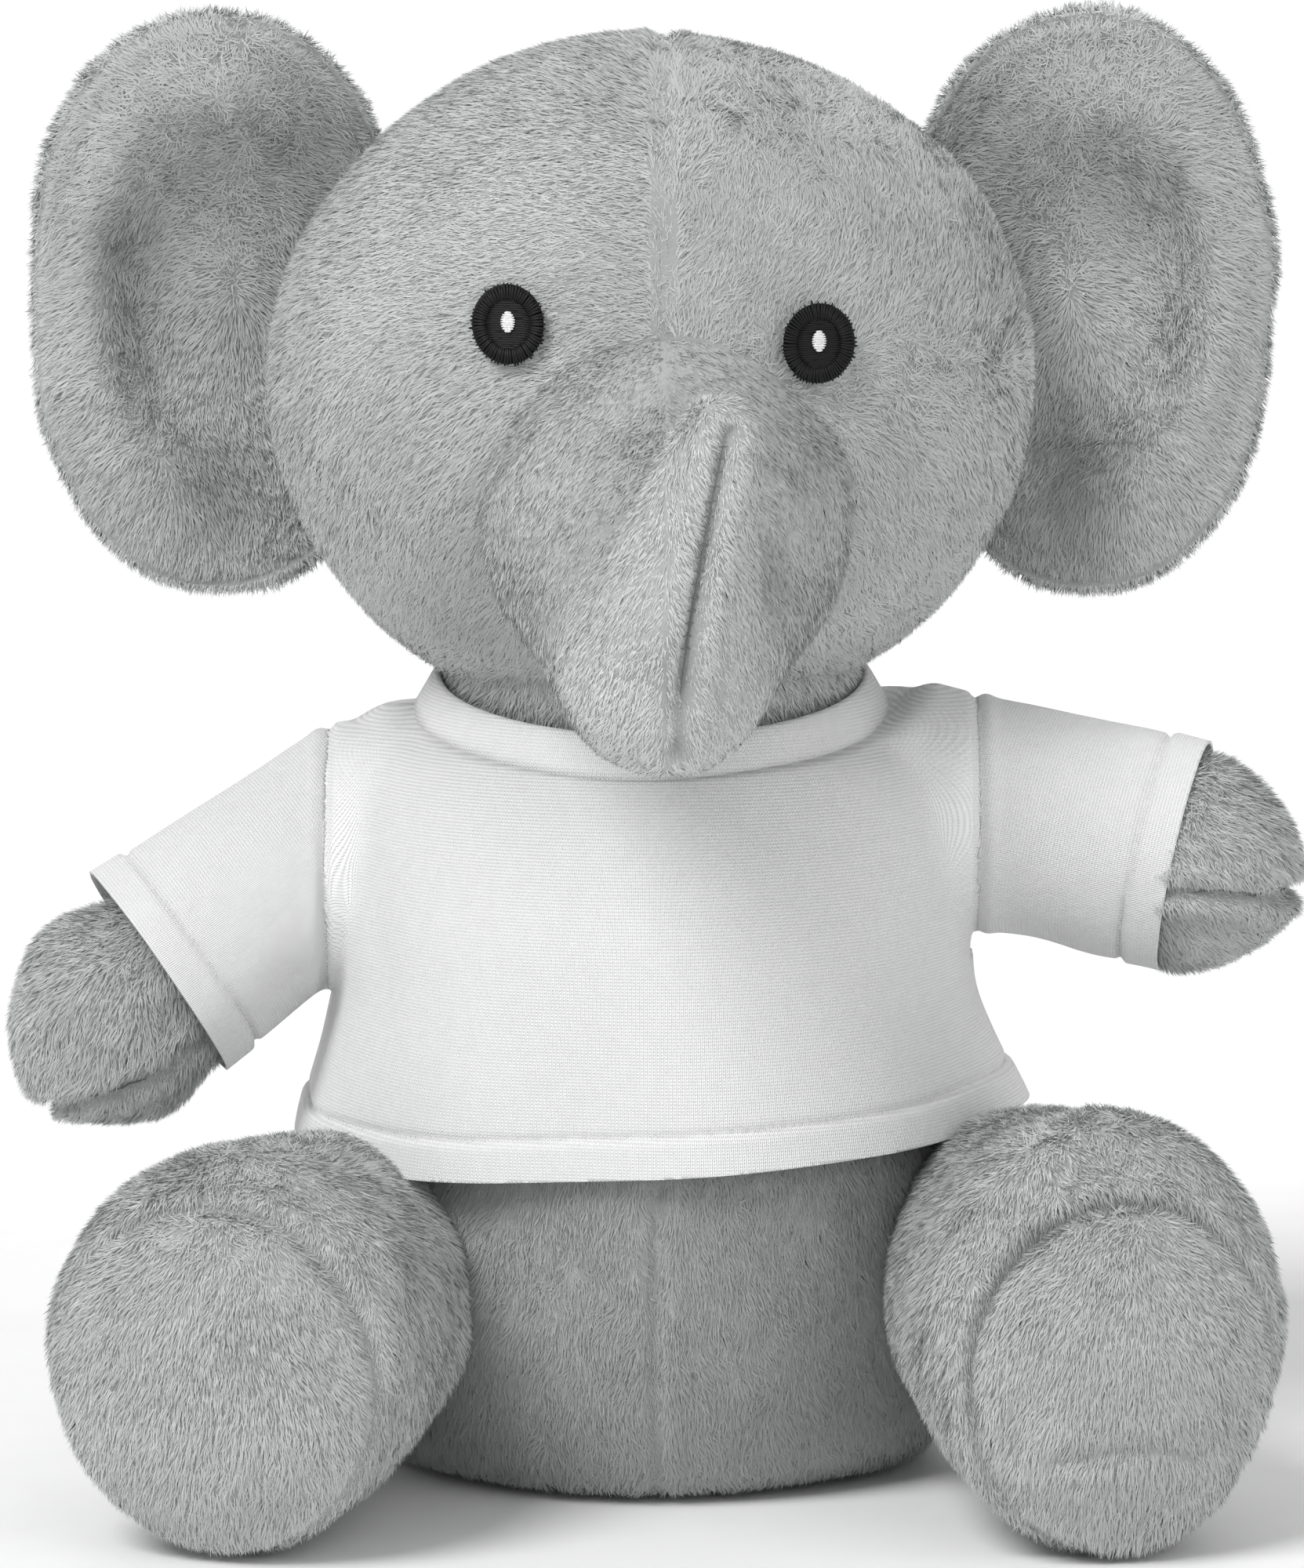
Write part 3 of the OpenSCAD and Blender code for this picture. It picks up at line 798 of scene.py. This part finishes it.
def build_ear(side):
    """A padded leaf: a broad puffy rim, a crest, and a bowl that falls away towards the head."""
    sign = sign_of(side)
    low, high = span(f"ear_front_{side}", f"ear_back_{side}", f"ear_padding_{side}")
    outward = np.array([sign, 0.10, 0])
    up = np.array([0, 0, 1.0])
    back = np.array([0, 1.0, 0])
    tall = (high[2] - low[2]) / 2 - 0.5 * MM
    wide = 30.2 * MM
    outer = max(abs(low[0]), abs(high[0])) - 0.5 * MM
    inside = outer - 2 * wide          # where the leaf would end, inside the head
    root = np.array([sign * inside, pivot(f"ear_{side}_fold")[1] - 1 * MM, (low[2] + high[2]) / 2])
    rings, turns = 46, 210
    r = np.linspace(0, 1, rings)[:, None] * np.ones((1, turns))
    a = np.ones((rings, 1)) * (np.arange(turns) / turns * TAU)[None, :]
    c, s = np.cos(a), np.sin(a)
    square = 0.92
    across = wide * (1 + r * np.sign(c) * np.abs(c) ** square)
    along = tall * r * np.sign(s) * np.abs(s) ** square
    bowl = ((across - 29 * MM) ** 2 + along ** 2) / (190 * MM)
    inner = smoothstep(34 * MM, 12 * MM, across + 0.18 * along)
    rim = (1 - r ** 5) ** 0.5
    crest = bell(r - 0.66, 0.2) * (1 - inner)
    hollow = bell(r - 0.1, 0.42)
    front_t = rim * (3.6 * MM + 4.6 * MM * crest - 3.2 * MM * hollow) - 4.5 * MM * inner * rim
    back_t = rim * (4.8 * MM + 1.2 * MM * inner)
    middle_y = 6 * MM - bowl
    grid = [root + np.stack([across] * 3, axis=2) * outward + np.stack([along] * 3, axis=2) * up
            + np.stack([middle_y + t] * 3, axis=2) * back for t in (-front_t, back_t)]
    front, rear = grid
    verts = np.concatenate([front.reshape(-1, 3), rear[:-1].reshape(-1, 3)])
    i, j = np.meshgrid(np.arange(rings - 1), np.arange(turns), indexing="ij")
    k = (j + 1) % turns
    first = rings * turns
    rim_row = (rings - 1) * turns        # shared by both sides
    row = np.where(i + 1 < rings - 1, first + (i + 1) * turns, rim_row)
    rear_quads = np.stack([first + i * turns + j, row + j, row + k, first + i * turns + k], axis=2)
    quads = np.concatenate([ring_quads(rings, turns), rear_quads.reshape(-1, 4)])
    if sign > 0:
        quads = quads[:, ::-1]
    skin = new_mesh(f"ear_{side}_skin", verts, quads, [GROUND])
    bpy.context.view_layer.update()
    if normals(skin)[: first // 2, 1].mean() > 0:
        skin.data.flip_normals()
    relax = skin.modifiers.new("relax", "SMOOTH")
    relax.factor = 0.5
    relax.iterations = 8
    bpy.context.view_layer.update()
    apply_modifiers(skin)
    crumple(skin, 13 * MM, 0.8 * MM, 6.0 + sign)
    rim_seam = front[int(rings * 0.95)][np.r_[0:turns, 0]]
    groove(skin, rim_seam, 0.8 * MM, 0.6 * MM)
    centre = root + outward * 28 * MM

    def nap(points, normal):
        away = unit((points - centre) * np.array([1, 0, 0.6]))
        return 0.8 * away + np.array([0, 0, -0.55])

    def painted_shading(points):
        # Painted light and shade: the ear is half a shade lighter all over, and its front is painted darker
        # near the cheek, as shade where it meets the head.
        from_cheek = np.linalg.norm((points - HEAD) / HEAD_SIZE, axis=1) - 1
        return 0.5 - 1.9 * bell(np.maximum(from_cheek, 0), 0.28) * (points[:, 1] < root[1] + 3 * MM)

    def shown(points):
        return np.linalg.norm((points - HEAD) / (HEAD_SIZE - 3 * MM), axis=1) > 1

    coat = grow_pile(skin, f"ear_{side}_pile", nap, 41 + sign, PILE, seams=[rim_seam], lean=1.0, rough=0.45,
                     painted_shading=painted_shading, length=2.7 * MM, keep=shown)
    grown_from([skin, coat], f"ear_{side}")
    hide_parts(f"ear_front_{side}", f"ear_back_{side}", f"ear_padding_{side}")


# ---- body

BODY_LOW, BODY_HIGH = span("body_panel_left", "body_panel_right", "seat_panel")
BELLY = (BODY_HIGH[0] - BODY_LOW[0]) / 2
SHOULDER = BODY_HIGH[2]


def body_radius(z):
    """Half-width of the body at height z above the seat: flat seat, full belly, narrow neck."""
    seat = 0.76
    full_z = 30 * MM
    if z < full_z:
        return BELLY * (seat + (1 - seat) * math.sqrt(max(0.0, 1 - ((full_z - z) / full_z) ** 2)))
    t = (z - full_z) / (SHOULDER - full_z)
    return BELLY - (BELLY - 27 * MM) * t ** 4


def keep_off_floor(obj, height):
    co = coords(obj)
    co[:, 2] = np.maximum(co[:, 2], height)
    set_coords(obj, co)


def build_body():
    heights = np.linspace(0, SHOULDER, 110)
    outline = [(0.0, 0.0), (0.0, body_radius(0) * 0.5), (0.0, body_radius(0) * 0.9)]
    tuck = 1.6 * MM            # the shirt presses the plush in a little
    in_shadow = -2.8           # shades darker, under the hem and between the legs
    outline += [(h, body_radius(h) - PILE_DEPTH - tuck * float(smoothstep(56 * MM, 64 * MM, h)))
                for h in heights[1:]]
    outline += [(SHOULDER + 2 * MM, 14 * MM), (SHOULDER + 3 * MM, 0.0)]
    skin = lathe("body_skin", outline, 260, (0, 0, 0.6 * MM), np.eye(3), [GROUND])
    crumple(skin, 30 * MM, 1.0 * MM, 8.0)
    rise = np.linspace(2 * MM, SHOULDER, 60)
    front = np.array([[0.5 * MM, -(body_radius(z) - PILE_DEPTH), z] for z in rise])
    back = front * np.array([1, -1, 1])
    for seam in (front, back):
        groove(skin, seam, 1.0 * MM, 1.1 * MM)
    keep_off_floor(skin, 0.5 * MM)
    coat = grow_pile(skin, "body_pile", brushed(DOWN), 51, PILE, seams=[front, back], rough=0.6,
                     painted_shading=lambda p: in_shadow,
                     keep=lambda p: (p[:, 2] > 1.0 * MM) & (p[:, 2] < 64 * MM))
    keep_off_floor(coat, 0.2 * MM)
    grown_from([skin, coat], "torso")
    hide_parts("body_panel_left", "body_panel_right", "body_stuffing", "pellet_bag", "seat_panel")


def build_neck():
    size = 33 * MM
    outline = [(-12 * MM, size * 0.85), (-6 * MM, size * 0.96), (0, size), (6 * MM, size),
               (11 * MM, size * 0.97)]
    skin = lathe("neck_skin", rounded(outline, 5), 140, middle("neck_stuffing"), np.eye(3), [GROUND])
    coat = grow_pile(skin, "neck_pile", brushed(DOWN), 55, PILE, density=4)
    grown_from([skin, coat], "neck")
    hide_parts("neck_stuffing")


# ---- arms, legs and tail


def rounded(points, steps=12):
    """A smooth outline through (height, radius) points."""
    stations = [(np.array([h, r]), 0.0) for h, r in points]
    return [(p[0], max(p[1], 0.0)) for p, _ in curve_through(stations, steps)]


def onto_skin(skin, path):
    """Moves each point of a path to the nearest point of a skin."""
    co = coords(skin)
    return np.array([co[np.argmin(np.linalg.norm(co - p, axis=1))] for p in path])


def sewn_line(name, skin, path, lift=0.25 * MM):
    """A thread lying in a seam of a skin."""
    near = onto_skin(skin, path)
    co, no = coords(skin), normals(skin)
    up = np.array([no[np.argmin(np.linalg.norm(co - p, axis=1))] for p in near])
    for _ in range(3):
        near[1:-1] = (near[:-2] + near[1:-1] + near[2:]) / 3
    return tubes(name, [(near + up * lift, up.mean(axis=0))], 0.16 * MM, [SEAM_THREAD])


def build_arm(side):
    """A mitten: round, tapered to its end, with a sunk seam round the end and along both sides."""
    sign = sign_of(side)
    at, way = pivot(f"arm_{side}_swing"), arm_way(side)
    low, high = span(f"arm_upper_panel_{side}", f"arm_lower_panel_{side}")
    far = high[0] if sign > 0 else low[0]
    hand = 17.2 * MM
    reach = (abs(far - at[0]) - hand) / abs(way[0]) + hand
    palm = reach - hand
    outline = rounded([(-15 * MM, 0.0), (-10 * MM, hand * 0.65), (0, hand * 0.84), (palm * 0.7, hand * 0.86),
                       (palm, hand), (palm + hand * 0.4, hand * 0.88), (palm + hand * 0.74, hand * 0.62),
                       (palm + hand * 0.94, hand * 0.3), (reach, 0.0)])
    axes = axes_along(way)
    skin = lathe(f"arm_{side}_skin", outline, 150, at, axes, [GROUND])
    crumple(skin, 13 * MM, 0.8 * MM, 9.0 + sign)
    crumple(skin, 6 * MM, 0.3 * MM, 19.0)
    tip_drop, hem_drop = ((-5, -11) if sign < 0 else (-0.5, -2.5))
    turn = np.linspace(-math.pi / 2, math.pi / 2, 70)
    ring = []
    for t in turn:
        drop = (tip_drop + (hem_drop - tip_drop) * (1 - math.cos(t))) * MM
        ring.append(at + (palm * 0.75 + (reach - palm * 0.75) * math.cos(t)) * way
                    + 1.05 * hand * math.sin(t) * axes[0] + drop * axes[1])
    seam = onto_skin(skin, ring)
    groove(skin, seam, 1.0 * MM, 1.1 * MM, puff=0.8)
    end = np.array([p for p, t in zip(seam, turn) if abs(t) < 0.4])
    groove(skin, end, 2.0 * MM, 1.1 * MM, puff=0.3)
    hem = float((SLEEVES[side][1] - at) @ way) - 2 * MM
    coat = grow_pile(skin, f"arm_{side}_pile", brushed(0.7 * way + np.array([0, 0, -0.8])), 61 + sign, PILE,
                     seams=[seam], rough=0.6, lean=1.05, keep=lambda p: (p - at) @ way > hem)
    shown = np.array([p for p, t in zip(seam, turn) if abs(t) < 1.1])
    thread_line = sewn_line(f"arm_{side}_seam_stitches", skin, shown)
    grown_from([skin, coat, thread_line], f"arm_{side}")
    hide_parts(f"arm_upper_panel_{side}", f"arm_lower_panel_{side}", f"arm_stuffing_{side}")


def build_leg(side):
    """A short drum of cover that slopes down to a puffy round sole, with the seam sunk between them."""
    sign = sign_of(side)
    at = pivot(f"leg_{side}_lift")
    low, high = span(f"leg_cover_{side}")
    sole = middle(f"sole_{side}")
    way = unit((sole - at) * np.array([1, 1, 0]))
    length = float((sole - at) @ way)
    r = (high[2] - low[2]) / 2 + (-1.6 if sign < 0 else 0.6) * MM
    narrow = 0.95 if sign < 0 else 0.86
    centre = np.array([at[0], at[1], r + 0.8 * MM])
    edge = length * 0.96
    cap = 26.8 * MM
    outline = rounded([(-r * 0.85, 0.0), (-r * 0.62, r * 0.55), (0.0, r * 0.80), (length * 0.36, r * 0.90),
                       (length * 0.6, r * 0.975), (length * 0.76, r), (length * 0.87, r * 0.96),
                       (edge, cap), (edge + 4.5 * MM, cap * 0.88), (edge + 8.6 * MM, cap * 0.62),
                       (edge + 11 * MM, cap * 0.3), (edge + 11.6 * MM, 0.0)])
    axes = axes_along(way)
    radii = np.array([p[1] for p in outline])[:, None]
    heights = np.array([p[0] for p in outline])[:, None]
    lower = np.clip(r - radii, 0, r - cap) * smoothstep(length * 0.68, length * 0.8, heights)

    def shape(local, angle):
        local[:, :, 0] *= narrow
        local[:, :, 1] -= lower
        return local

    skin = lathe(f"leg_{side}_skin", outline, 230, centre, axes, [GROUND], shape)
    crumple(skin, 22 * MM, 1.0 * MM, 12.0 + sign)
    crumple(skin, 9 * MM, 0.4 * MM, 15.0 + sign)
    turn = np.linspace(0, TAU, 100)
    sole_seam = onto_skin(skin, [centre + edge * way + (cap * math.sin(a) - (r - cap)) * axes[1]
                                 + cap * narrow * math.cos(a) * axes[0] for a in turn])
    groove(skin, sole_seam, 1.2 * MM, (0.7 if sign < 0 else 1.4) * MM, puff=0.7)
    top_seam = onto_skin(skin, [centre + length * t * way + r * axes[1] for t in np.linspace(0.2, 0.8, 24)])
    groove(skin, top_seam, 1.0 * MM, 0.8 * MM)
    if sign > 0:
        dent = onto_skin(skin, [centre + (edge + 8 * MM) * way + x * MM * axes[0] - (14 + 0.02 * x * x) * MM
                                * axes[1] for x in np.linspace(-11, 11, 12)])
        groove(skin, dent, 1.8 * MM, 0.8 * MM)
    keep_off_floor(skin, 0.6 * MM)

    def nap(points, normal):
        on_sole = smoothstep(edge - 3 * MM, edge + 5 * MM, (points - centre) @ way)[:, None]
        spread = unit(points - centre - edge * way - np.array([0, 0, 14 * MM]))
        down = DOWN + 0.15 * way
        return (0.7 * spread + np.array([0, 0, -0.8])) * on_sole + down * (1 - on_sole)

    coat = grow_pile(skin, f"leg_{side}_pile", nap, 71 + sign, PILE, seams=[sole_seam, top_seam], rough=0.5,
                     keep=lambda p: (p[:, 2] > 1.0 * MM) & ((p - at) @ way > -22 * MM))
    keep_off_floor(coat, 0.2 * MM)
    grown_from([skin, coat], f"leg_{side}")
    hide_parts(f"leg_cover_{side}", f"sole_{side}", f"leg_stuffing_{side}")


def build_tail():
    at = pivot("tail_wag")
    low, high = span("tail")
    tip = np.array([0, high[1] - 4 * MM, low[2] + 3 * MM])
    way = unit(tip - at)
    length = float(np.linalg.norm(tip - at)) + 2 * MM
    r = 3.4 * MM
    outline = rounded([(-6 * MM, 0.0), (-5 * MM, r * 0.8), (0, r), (length * 0.5, r * 0.9),
                       (length * 0.85, r * 0.85), (length, 0.0)])
    axes = axes_along(way)
    skin = lathe("tail_skin", outline, 60, at, axes, [GROUND])
    seam = np.array([at + way * length * t + axes[0] * r for t in np.linspace(0, 0.95, 16)])
    groove(skin, seam, 0.5 * MM, 0.5 * MM)
    coat = grow_pile(skin, "tail_pile", brushed(way), 81, PILE, length=2.2 * MM)
    grown_from([skin, coat], "tail")
    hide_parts("tail")


# ---- T-shirt

BAND_Z = middle("shirt_neckband")[2] + 2.9 * MM
BAND_TILT = 0.17           # how far the neckband leans forward, as a slope
BAND_RADIUS = 35.2 * MM
COLLAR_CUT = BAND_Z - 2.4 * MM
HEM = span("shirt_front", "shirt_back")[0][2] + 0.5 * MM
HEM_TILT = 0.055           # the hem rises to the right, as a slope
CLOTH = 0.55 * MM
SIDE_SEAM = 51.5 * MM      # the armhole seams, left and right of the middle
UNDERARM = {"left": 73 * MM, "right": 78 * MM}


def on_sleeve(x, z, side):
    """Whether a point of the shirt is past the armhole; below it the body of the shirt flares outwards."""
    out = sign_of(side) * x
    flare = 5.5 * MM + 0.35 * (UNDERARM[side] - z)
    return out > SIDE_SEAM + (z < UNDERARM[side]) * flare


def arm_way(side):
    return unit(middle(f"sleeve_{side}") - pivot(f"arm_{side}_swing"))


def sleeve_line(side):
    """The middle of the armhole, the middle of the hem, and the radius at each. The sleeve is wider than
    the arm, which lies in the bottom of it."""
    reach, wide, hem_wide, above = {"left": (33.5, 16.9, 19.4, 2.2), "right": (35.7, 18.4, 18.2, 0.6)}[side]
    at, way = pivot(f"arm_{side}_swing"), arm_way(side)
    over = axes_along(way)[1] * above * MM
    return at + way * 2 * MM + over, at + way * reach * MM + over, wide * MM, hem_wide * MM


SLEEVES = {side: sleeve_line(side) for side in ("left", "right")}


def bisect(obj, point, normal, remove=None, only=None):
    """Cuts a mesh along a plane where only(centre) is true; remove takes away the side in front of it."""
    mesh = bmesh.new()
    mesh.from_mesh(obj.data)
    faces = [f for f in mesh.faces if only is None or only(f.calc_center_median())]
    edges = {e for f in faces for e in f.edges}
    verts = {v for f in faces for v in f.verts}
    bmesh.ops.bisect_plane(mesh, geom=list(verts) + list(edges) + faces, plane_co=point, plane_no=normal,
                           clear_outer=bool(remove))
    mesh.to_mesh(obj.data)
    mesh.free()


def part_of(obj, name, wanted):
    """A new object from the faces whose centre is wanted."""
    mesh = bmesh.new()
    mesh.from_mesh(obj.data)
    unwanted = [f for f in mesh.faces if not wanted(f.calc_center_median())]
    bmesh.ops.delete(mesh, geom=unwanted, context="FACES")
    data = bpy.data.meshes.new(name)
    mesh.to_mesh(data)
    mesh.free()
    made = bpy.data.objects.new(name, data)
    bpy.context.scene.collection.objects.link(made)
    shade_smooth(made)
    return made


def wrap_uv(obj, at, axes, radius):
    """UVs in metres, round an axis and along it, with no face across the join."""
    local = (coords(obj) - np.asarray(at)) @ np.asarray(axes).T
    angle = np.arctan2(local[:, 0], -local[:, 1])
    mesh = obj.data
    loops = np.zeros(len(mesh.loops), np.int32)
    mesh.loops.foreach_get("vertex_index", loops)
    first = np.zeros(len(mesh.polygons), np.int32)
    total = np.zeros(len(mesh.polygons), np.int32)
    mesh.polygons.foreach_get("loop_start", first)
    mesh.polygons.foreach_get("loop_total", total)
    lead = np.repeat(angle[loops[first]], total)
    turn = angle[loops]
    turn = turn - TAU * np.round((turn - lead) / TAU)
    uv = mesh.uv_layers.new(name="UVMap") if not mesh.uv_layers else mesh.uv_layers[0]
    uv.data.foreach_set("uv", np.stack([turn * radius, local[loops, 2]], axis=1).astype(np.float32).ravel())


def thicken(obj):
    """Gives a sheet of cloth its thickness."""
    solid = obj.modifiers.new("thickness", "SOLIDIFY")
    solid.thickness = CLOTH
    solid.offset = -1
    bpy.context.view_layer.update()
    apply_modifiers(obj)
    dress(obj, [JERSEY])
    shade_smooth(obj)


def ring_level(z, values):
    """Reads a half-width or half-depth of the shirt off its (height, size) values, all in millimetres."""
    heights, sizes = zip(*values)
    return np.interp(z / MM, heights, sizes) * MM


def shirt_form():
    """The shirt before it is cut: body, shoulders and sleeves in one smooth form."""
    wide = [(40, 59.5), (53, 57.4), (64, 53.9), (75, 51.3), (88, 50.6), (100, 50.4), (108, 49.4), (113, 46.5),
            (117, 39.5), (119, 35.6), (130, 35.0)]
    deep = [(40, 58.5), (53, 57.4), (64, 55.8), (75, 54.0), (88, 51.5), (100, 46.5), (108, 42.0), (114, 38.6),
            (118, 35.8), (123, 35.0), (130, 34.6)]
    heights = np.linspace(40 * MM, 130 * MM, 100)

    def shape(local, angle):
        z = local[:, :, 2]
        c, s = np.cos(angle), np.sin(angle)
        free = smoothstep(100 * MM, 55 * MM, z)
        wave = 1.0 * MM * free * (np.sin(5 * angle + 0.6) + 0.6 * np.sin(9 * angle + 2.1))
        flare = 3.6 * MM * smoothstep(77 * MM, 53 * MM, z) * np.maximum(c, 0) ** 2
        local[:, :, 0] = (ring_level(z, wide) + wave) * c + flare
        local[:, :, 1] = (ring_level(z, deep) + wave) * s
        local[[0, -1], :, :2] = 0        # closed at both ends
        return local

    ends = [(heights[0], 0.0)] + [(h, 1.0) for h in heights] + [(heights[-1], 0.0)]
    parts = [lathe("part", ends, 200, (0, 0, 0), np.eye(3), shape=shape)]
    for armhole, hem, r0, r1 in SLEEVES.values():
        way = unit(hem - armhole)
        reach = float(np.linalg.norm(hem - armhole)) + 6 * MM
        inside = 16 * MM
        outline = [(-inside, 0.0), (-inside, r0 * 0.9)]
        outline += [(h, r0 + (r1 - r0) * max(h, 0) / reach) for h in np.linspace(-inside + MM, reach, 40)]
        outline += [(reach, 0.0)]
        parts.append(lathe("part", outline, 90, armhole, axes_along(way)))
    parts.append(ball(np.array([-39, 0, 108.5]) * MM, 12 * MM, (1, 1.6, 1)))
    parts.append(ball(np.array([38, 0, 112.0]) * MM, 12 * MM, (1, 1.6, 1)))
    voxel, rounds = ((0.65 * MM, 110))
    return remeshed("shirt_form", parts, voxel, rounds)


def hem_relief(distance):
    """A turned-up hem: twice as thick up to its stitch line, where the cloth is pulled in."""
    line = 6.3 * MM
    return 0.5 * MM * smoothstep(line + 0.2 * MM, line - 0.6 * MM, distance) \
        - 0.75 * MM * bell(distance - line, 0.6 * MM)


def fit_collar(form):
    """Brings the top of the shirt down and in to the neckband."""
    band_edge = BAND_RADIUS + 1.2 * MM
    co = coords(form)
    around = np.hypot(co[:, 0], co[:, 1])
    above = co[:, 2] - COLLAR_CUT - BAND_TILT * co[:, 1]
    collar = smoothstep(46 * MM, 37 * MM, around)
    co[:, 2] -= np.maximum(above + 0.3 * MM, 0) * collar * (around > band_edge)
    factor = np.where((above > -MM) & (around <= band_edge), BAND_RADIUS / np.maximum(around, MM), 1)
    set_coords(form, co * np.stack([factor, factor, np.ones(len(co))], axis=1))


def cut_shirt(form):
    """Opens the collar, the hem and the sleeve hems, and cuts the mesh along the armhole seams."""
    bisect(form, (0, 0, COLLAR_CUT), (0, -BAND_TILT, 1), remove=True,
           only=lambda c: math.hypot(c.x, c.y) < 36 * MM)
    bisect(form, (0, 0, HEM), (HEM_TILT, 0, -1), remove=True)
    for side, (armhole, hem, _, _) in SLEEVES.items():
        sign = sign_of(side)
        bisect(form, hem, unit(hem - armhole), remove=True, only=lambda c, sign=sign: sign * c.x > 61 * MM)
        bisect(form, (sign * SIDE_SEAM, 0, 0), (sign, 0, 0),
               only=lambda c, side=side, sign=sign: c.z > UNDERARM[side] and sign * c.x > 0)


def press_shirt(form):
    """Hems, armhole seams, and the soft unevenness and creases of worn jersey."""
    co = coords(form)
    rise = co[:, 2] - HEM - HEM_TILT * co[:, 0]
    on_arm = {side: on_sleeve(co[:, 0], co[:, 2], side) for side in SLEEVES}
    sink = hem_relief(rise) * ~(on_arm["left"] | on_arm["right"])
    for side, (armhole, hem, _, _) in SLEEVES.items():
        from_hem = (hem - co) @ unit(hem - armhole)
        sink = sink + hem_relief(from_hem) * on_arm[side]
        from_seam = sign_of(side) * co[:, 0] - SIDE_SEAM
        relief = 0.3 * MM * bell(from_seam - 2 * MM, 1.2 * MM) - 0.8 * MM * bell(from_seam, 0.8 * MM)
        sink = sink + relief * (co[:, 2] > UNDERARM[side] + 2 * MM)
    sag = value_noise(co * np.array([1, 1, 0.6]), 22 * MM, 3.0) - 0.5
    creases = value_noise(co @ np.array([[0.9, 0, 0.4], [0, 1, 0], [-0.25, 0, 0.5]]), 9 * MM, 5.0) - 0.5
    at_arm = smoothstep(22 * MM, 44 * MM, np.abs(co[:, 0])) * smoothstep(60 * MM, 84 * MM, co[:, 2])
    set_coords(form, co + normals(form) * (sink + 1.3 * MM * sag + 1.2 * MM * creases * at_arm)[:, None])


def build_panel(form, cad, wanted):
    """The front or the back of the shirt."""
    cloth = part_of(form, f"{cad}_cloth", wanted)
    wrap_uv(cloth, (0, 0, 0), np.eye(3), 54 * MM)
    thicken(cloth)
    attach(cloth, "torso")
    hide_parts(cad)


def build_sleeve(form, side):
    """A sleeve, cut from the shirt form past the armhole seam so that it meets the shirt there."""
    cloth = part_of(form, f"sleeve_{side}_cloth", lambda c: on_sleeve(c.x, c.z, side))
    armhole, hem, _, hem_radius = SLEEVES[side]
    way = unit(hem - armhole)
    wrap_uv(cloth, armhole, axes_along(way), hem_radius)
    thicken(cloth)
    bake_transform(cloth)
    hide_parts(f"sleeve_{side}")


def build_shirt():
    form = shirt_form()
    fit_collar(form)
    cut_shirt(form)
    press_shirt(form)

    def on_body(c):
        return not any(on_sleeve(c.x, c.z, side) for side in SLEEVES)

    build_panel(form, "shirt_front", lambda c: c.y < 0 and on_body(c))
    build_panel(form, "shirt_back", lambda c: c.y >= 0 and on_body(c))
    build_sleeve(form, "left")
    build_sleeve(form, "right")
    bpy.data.objects.remove(form)


def build_neckband():
    """A doubled band that stands round the neck, lower in front."""
    turns = 240
    section = [(0.2, -3.3), (0.9, -3.0), (0.85, -1.0), (0.8, 1.2), (0.65, 2.7), (0.15, 3.1), (-0.5, 2.8),
               (-0.6, 0.0), (-0.5, -2.6)]
    n = len(section)
    verts = []
    for k in range(turns):
        a = TAU * k / turns
        for out, up in section:
            radius = BAND_RADIUS + (0.3 + out - 0.55 * up) * MM
            verts.append([radius * math.cos(a), radius * math.sin(a) - 0.4 * MM,
                          BAND_Z + up * MM + BAND_TILT * radius * math.sin(a)])
    quads = [[k * n + s, ((k + 1) % turns) * n + s, ((k + 1) % turns) * n + (s + 1) % n, k * n + (s + 1) % n]
             for k in range(turns) for s in range(n)]
    band = new_mesh("neckband_cloth", np.array(verts), np.array(quads), [JERSEY])
    wrap_uv(band, (0, 0, 0), np.eye(3), 36 * MM)
    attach(band, "torso")
    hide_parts("shirt_neckband")


# ---- build

build_head()
build_trunk()
for SIDE in ("left", "right"):
    build_eye(SIDE)
    build_ear(SIDE)
    build_arm(SIDE)
    build_leg(SIDE)
build_body()
build_neck()
build_tail()
build_shirt()
build_neckband()
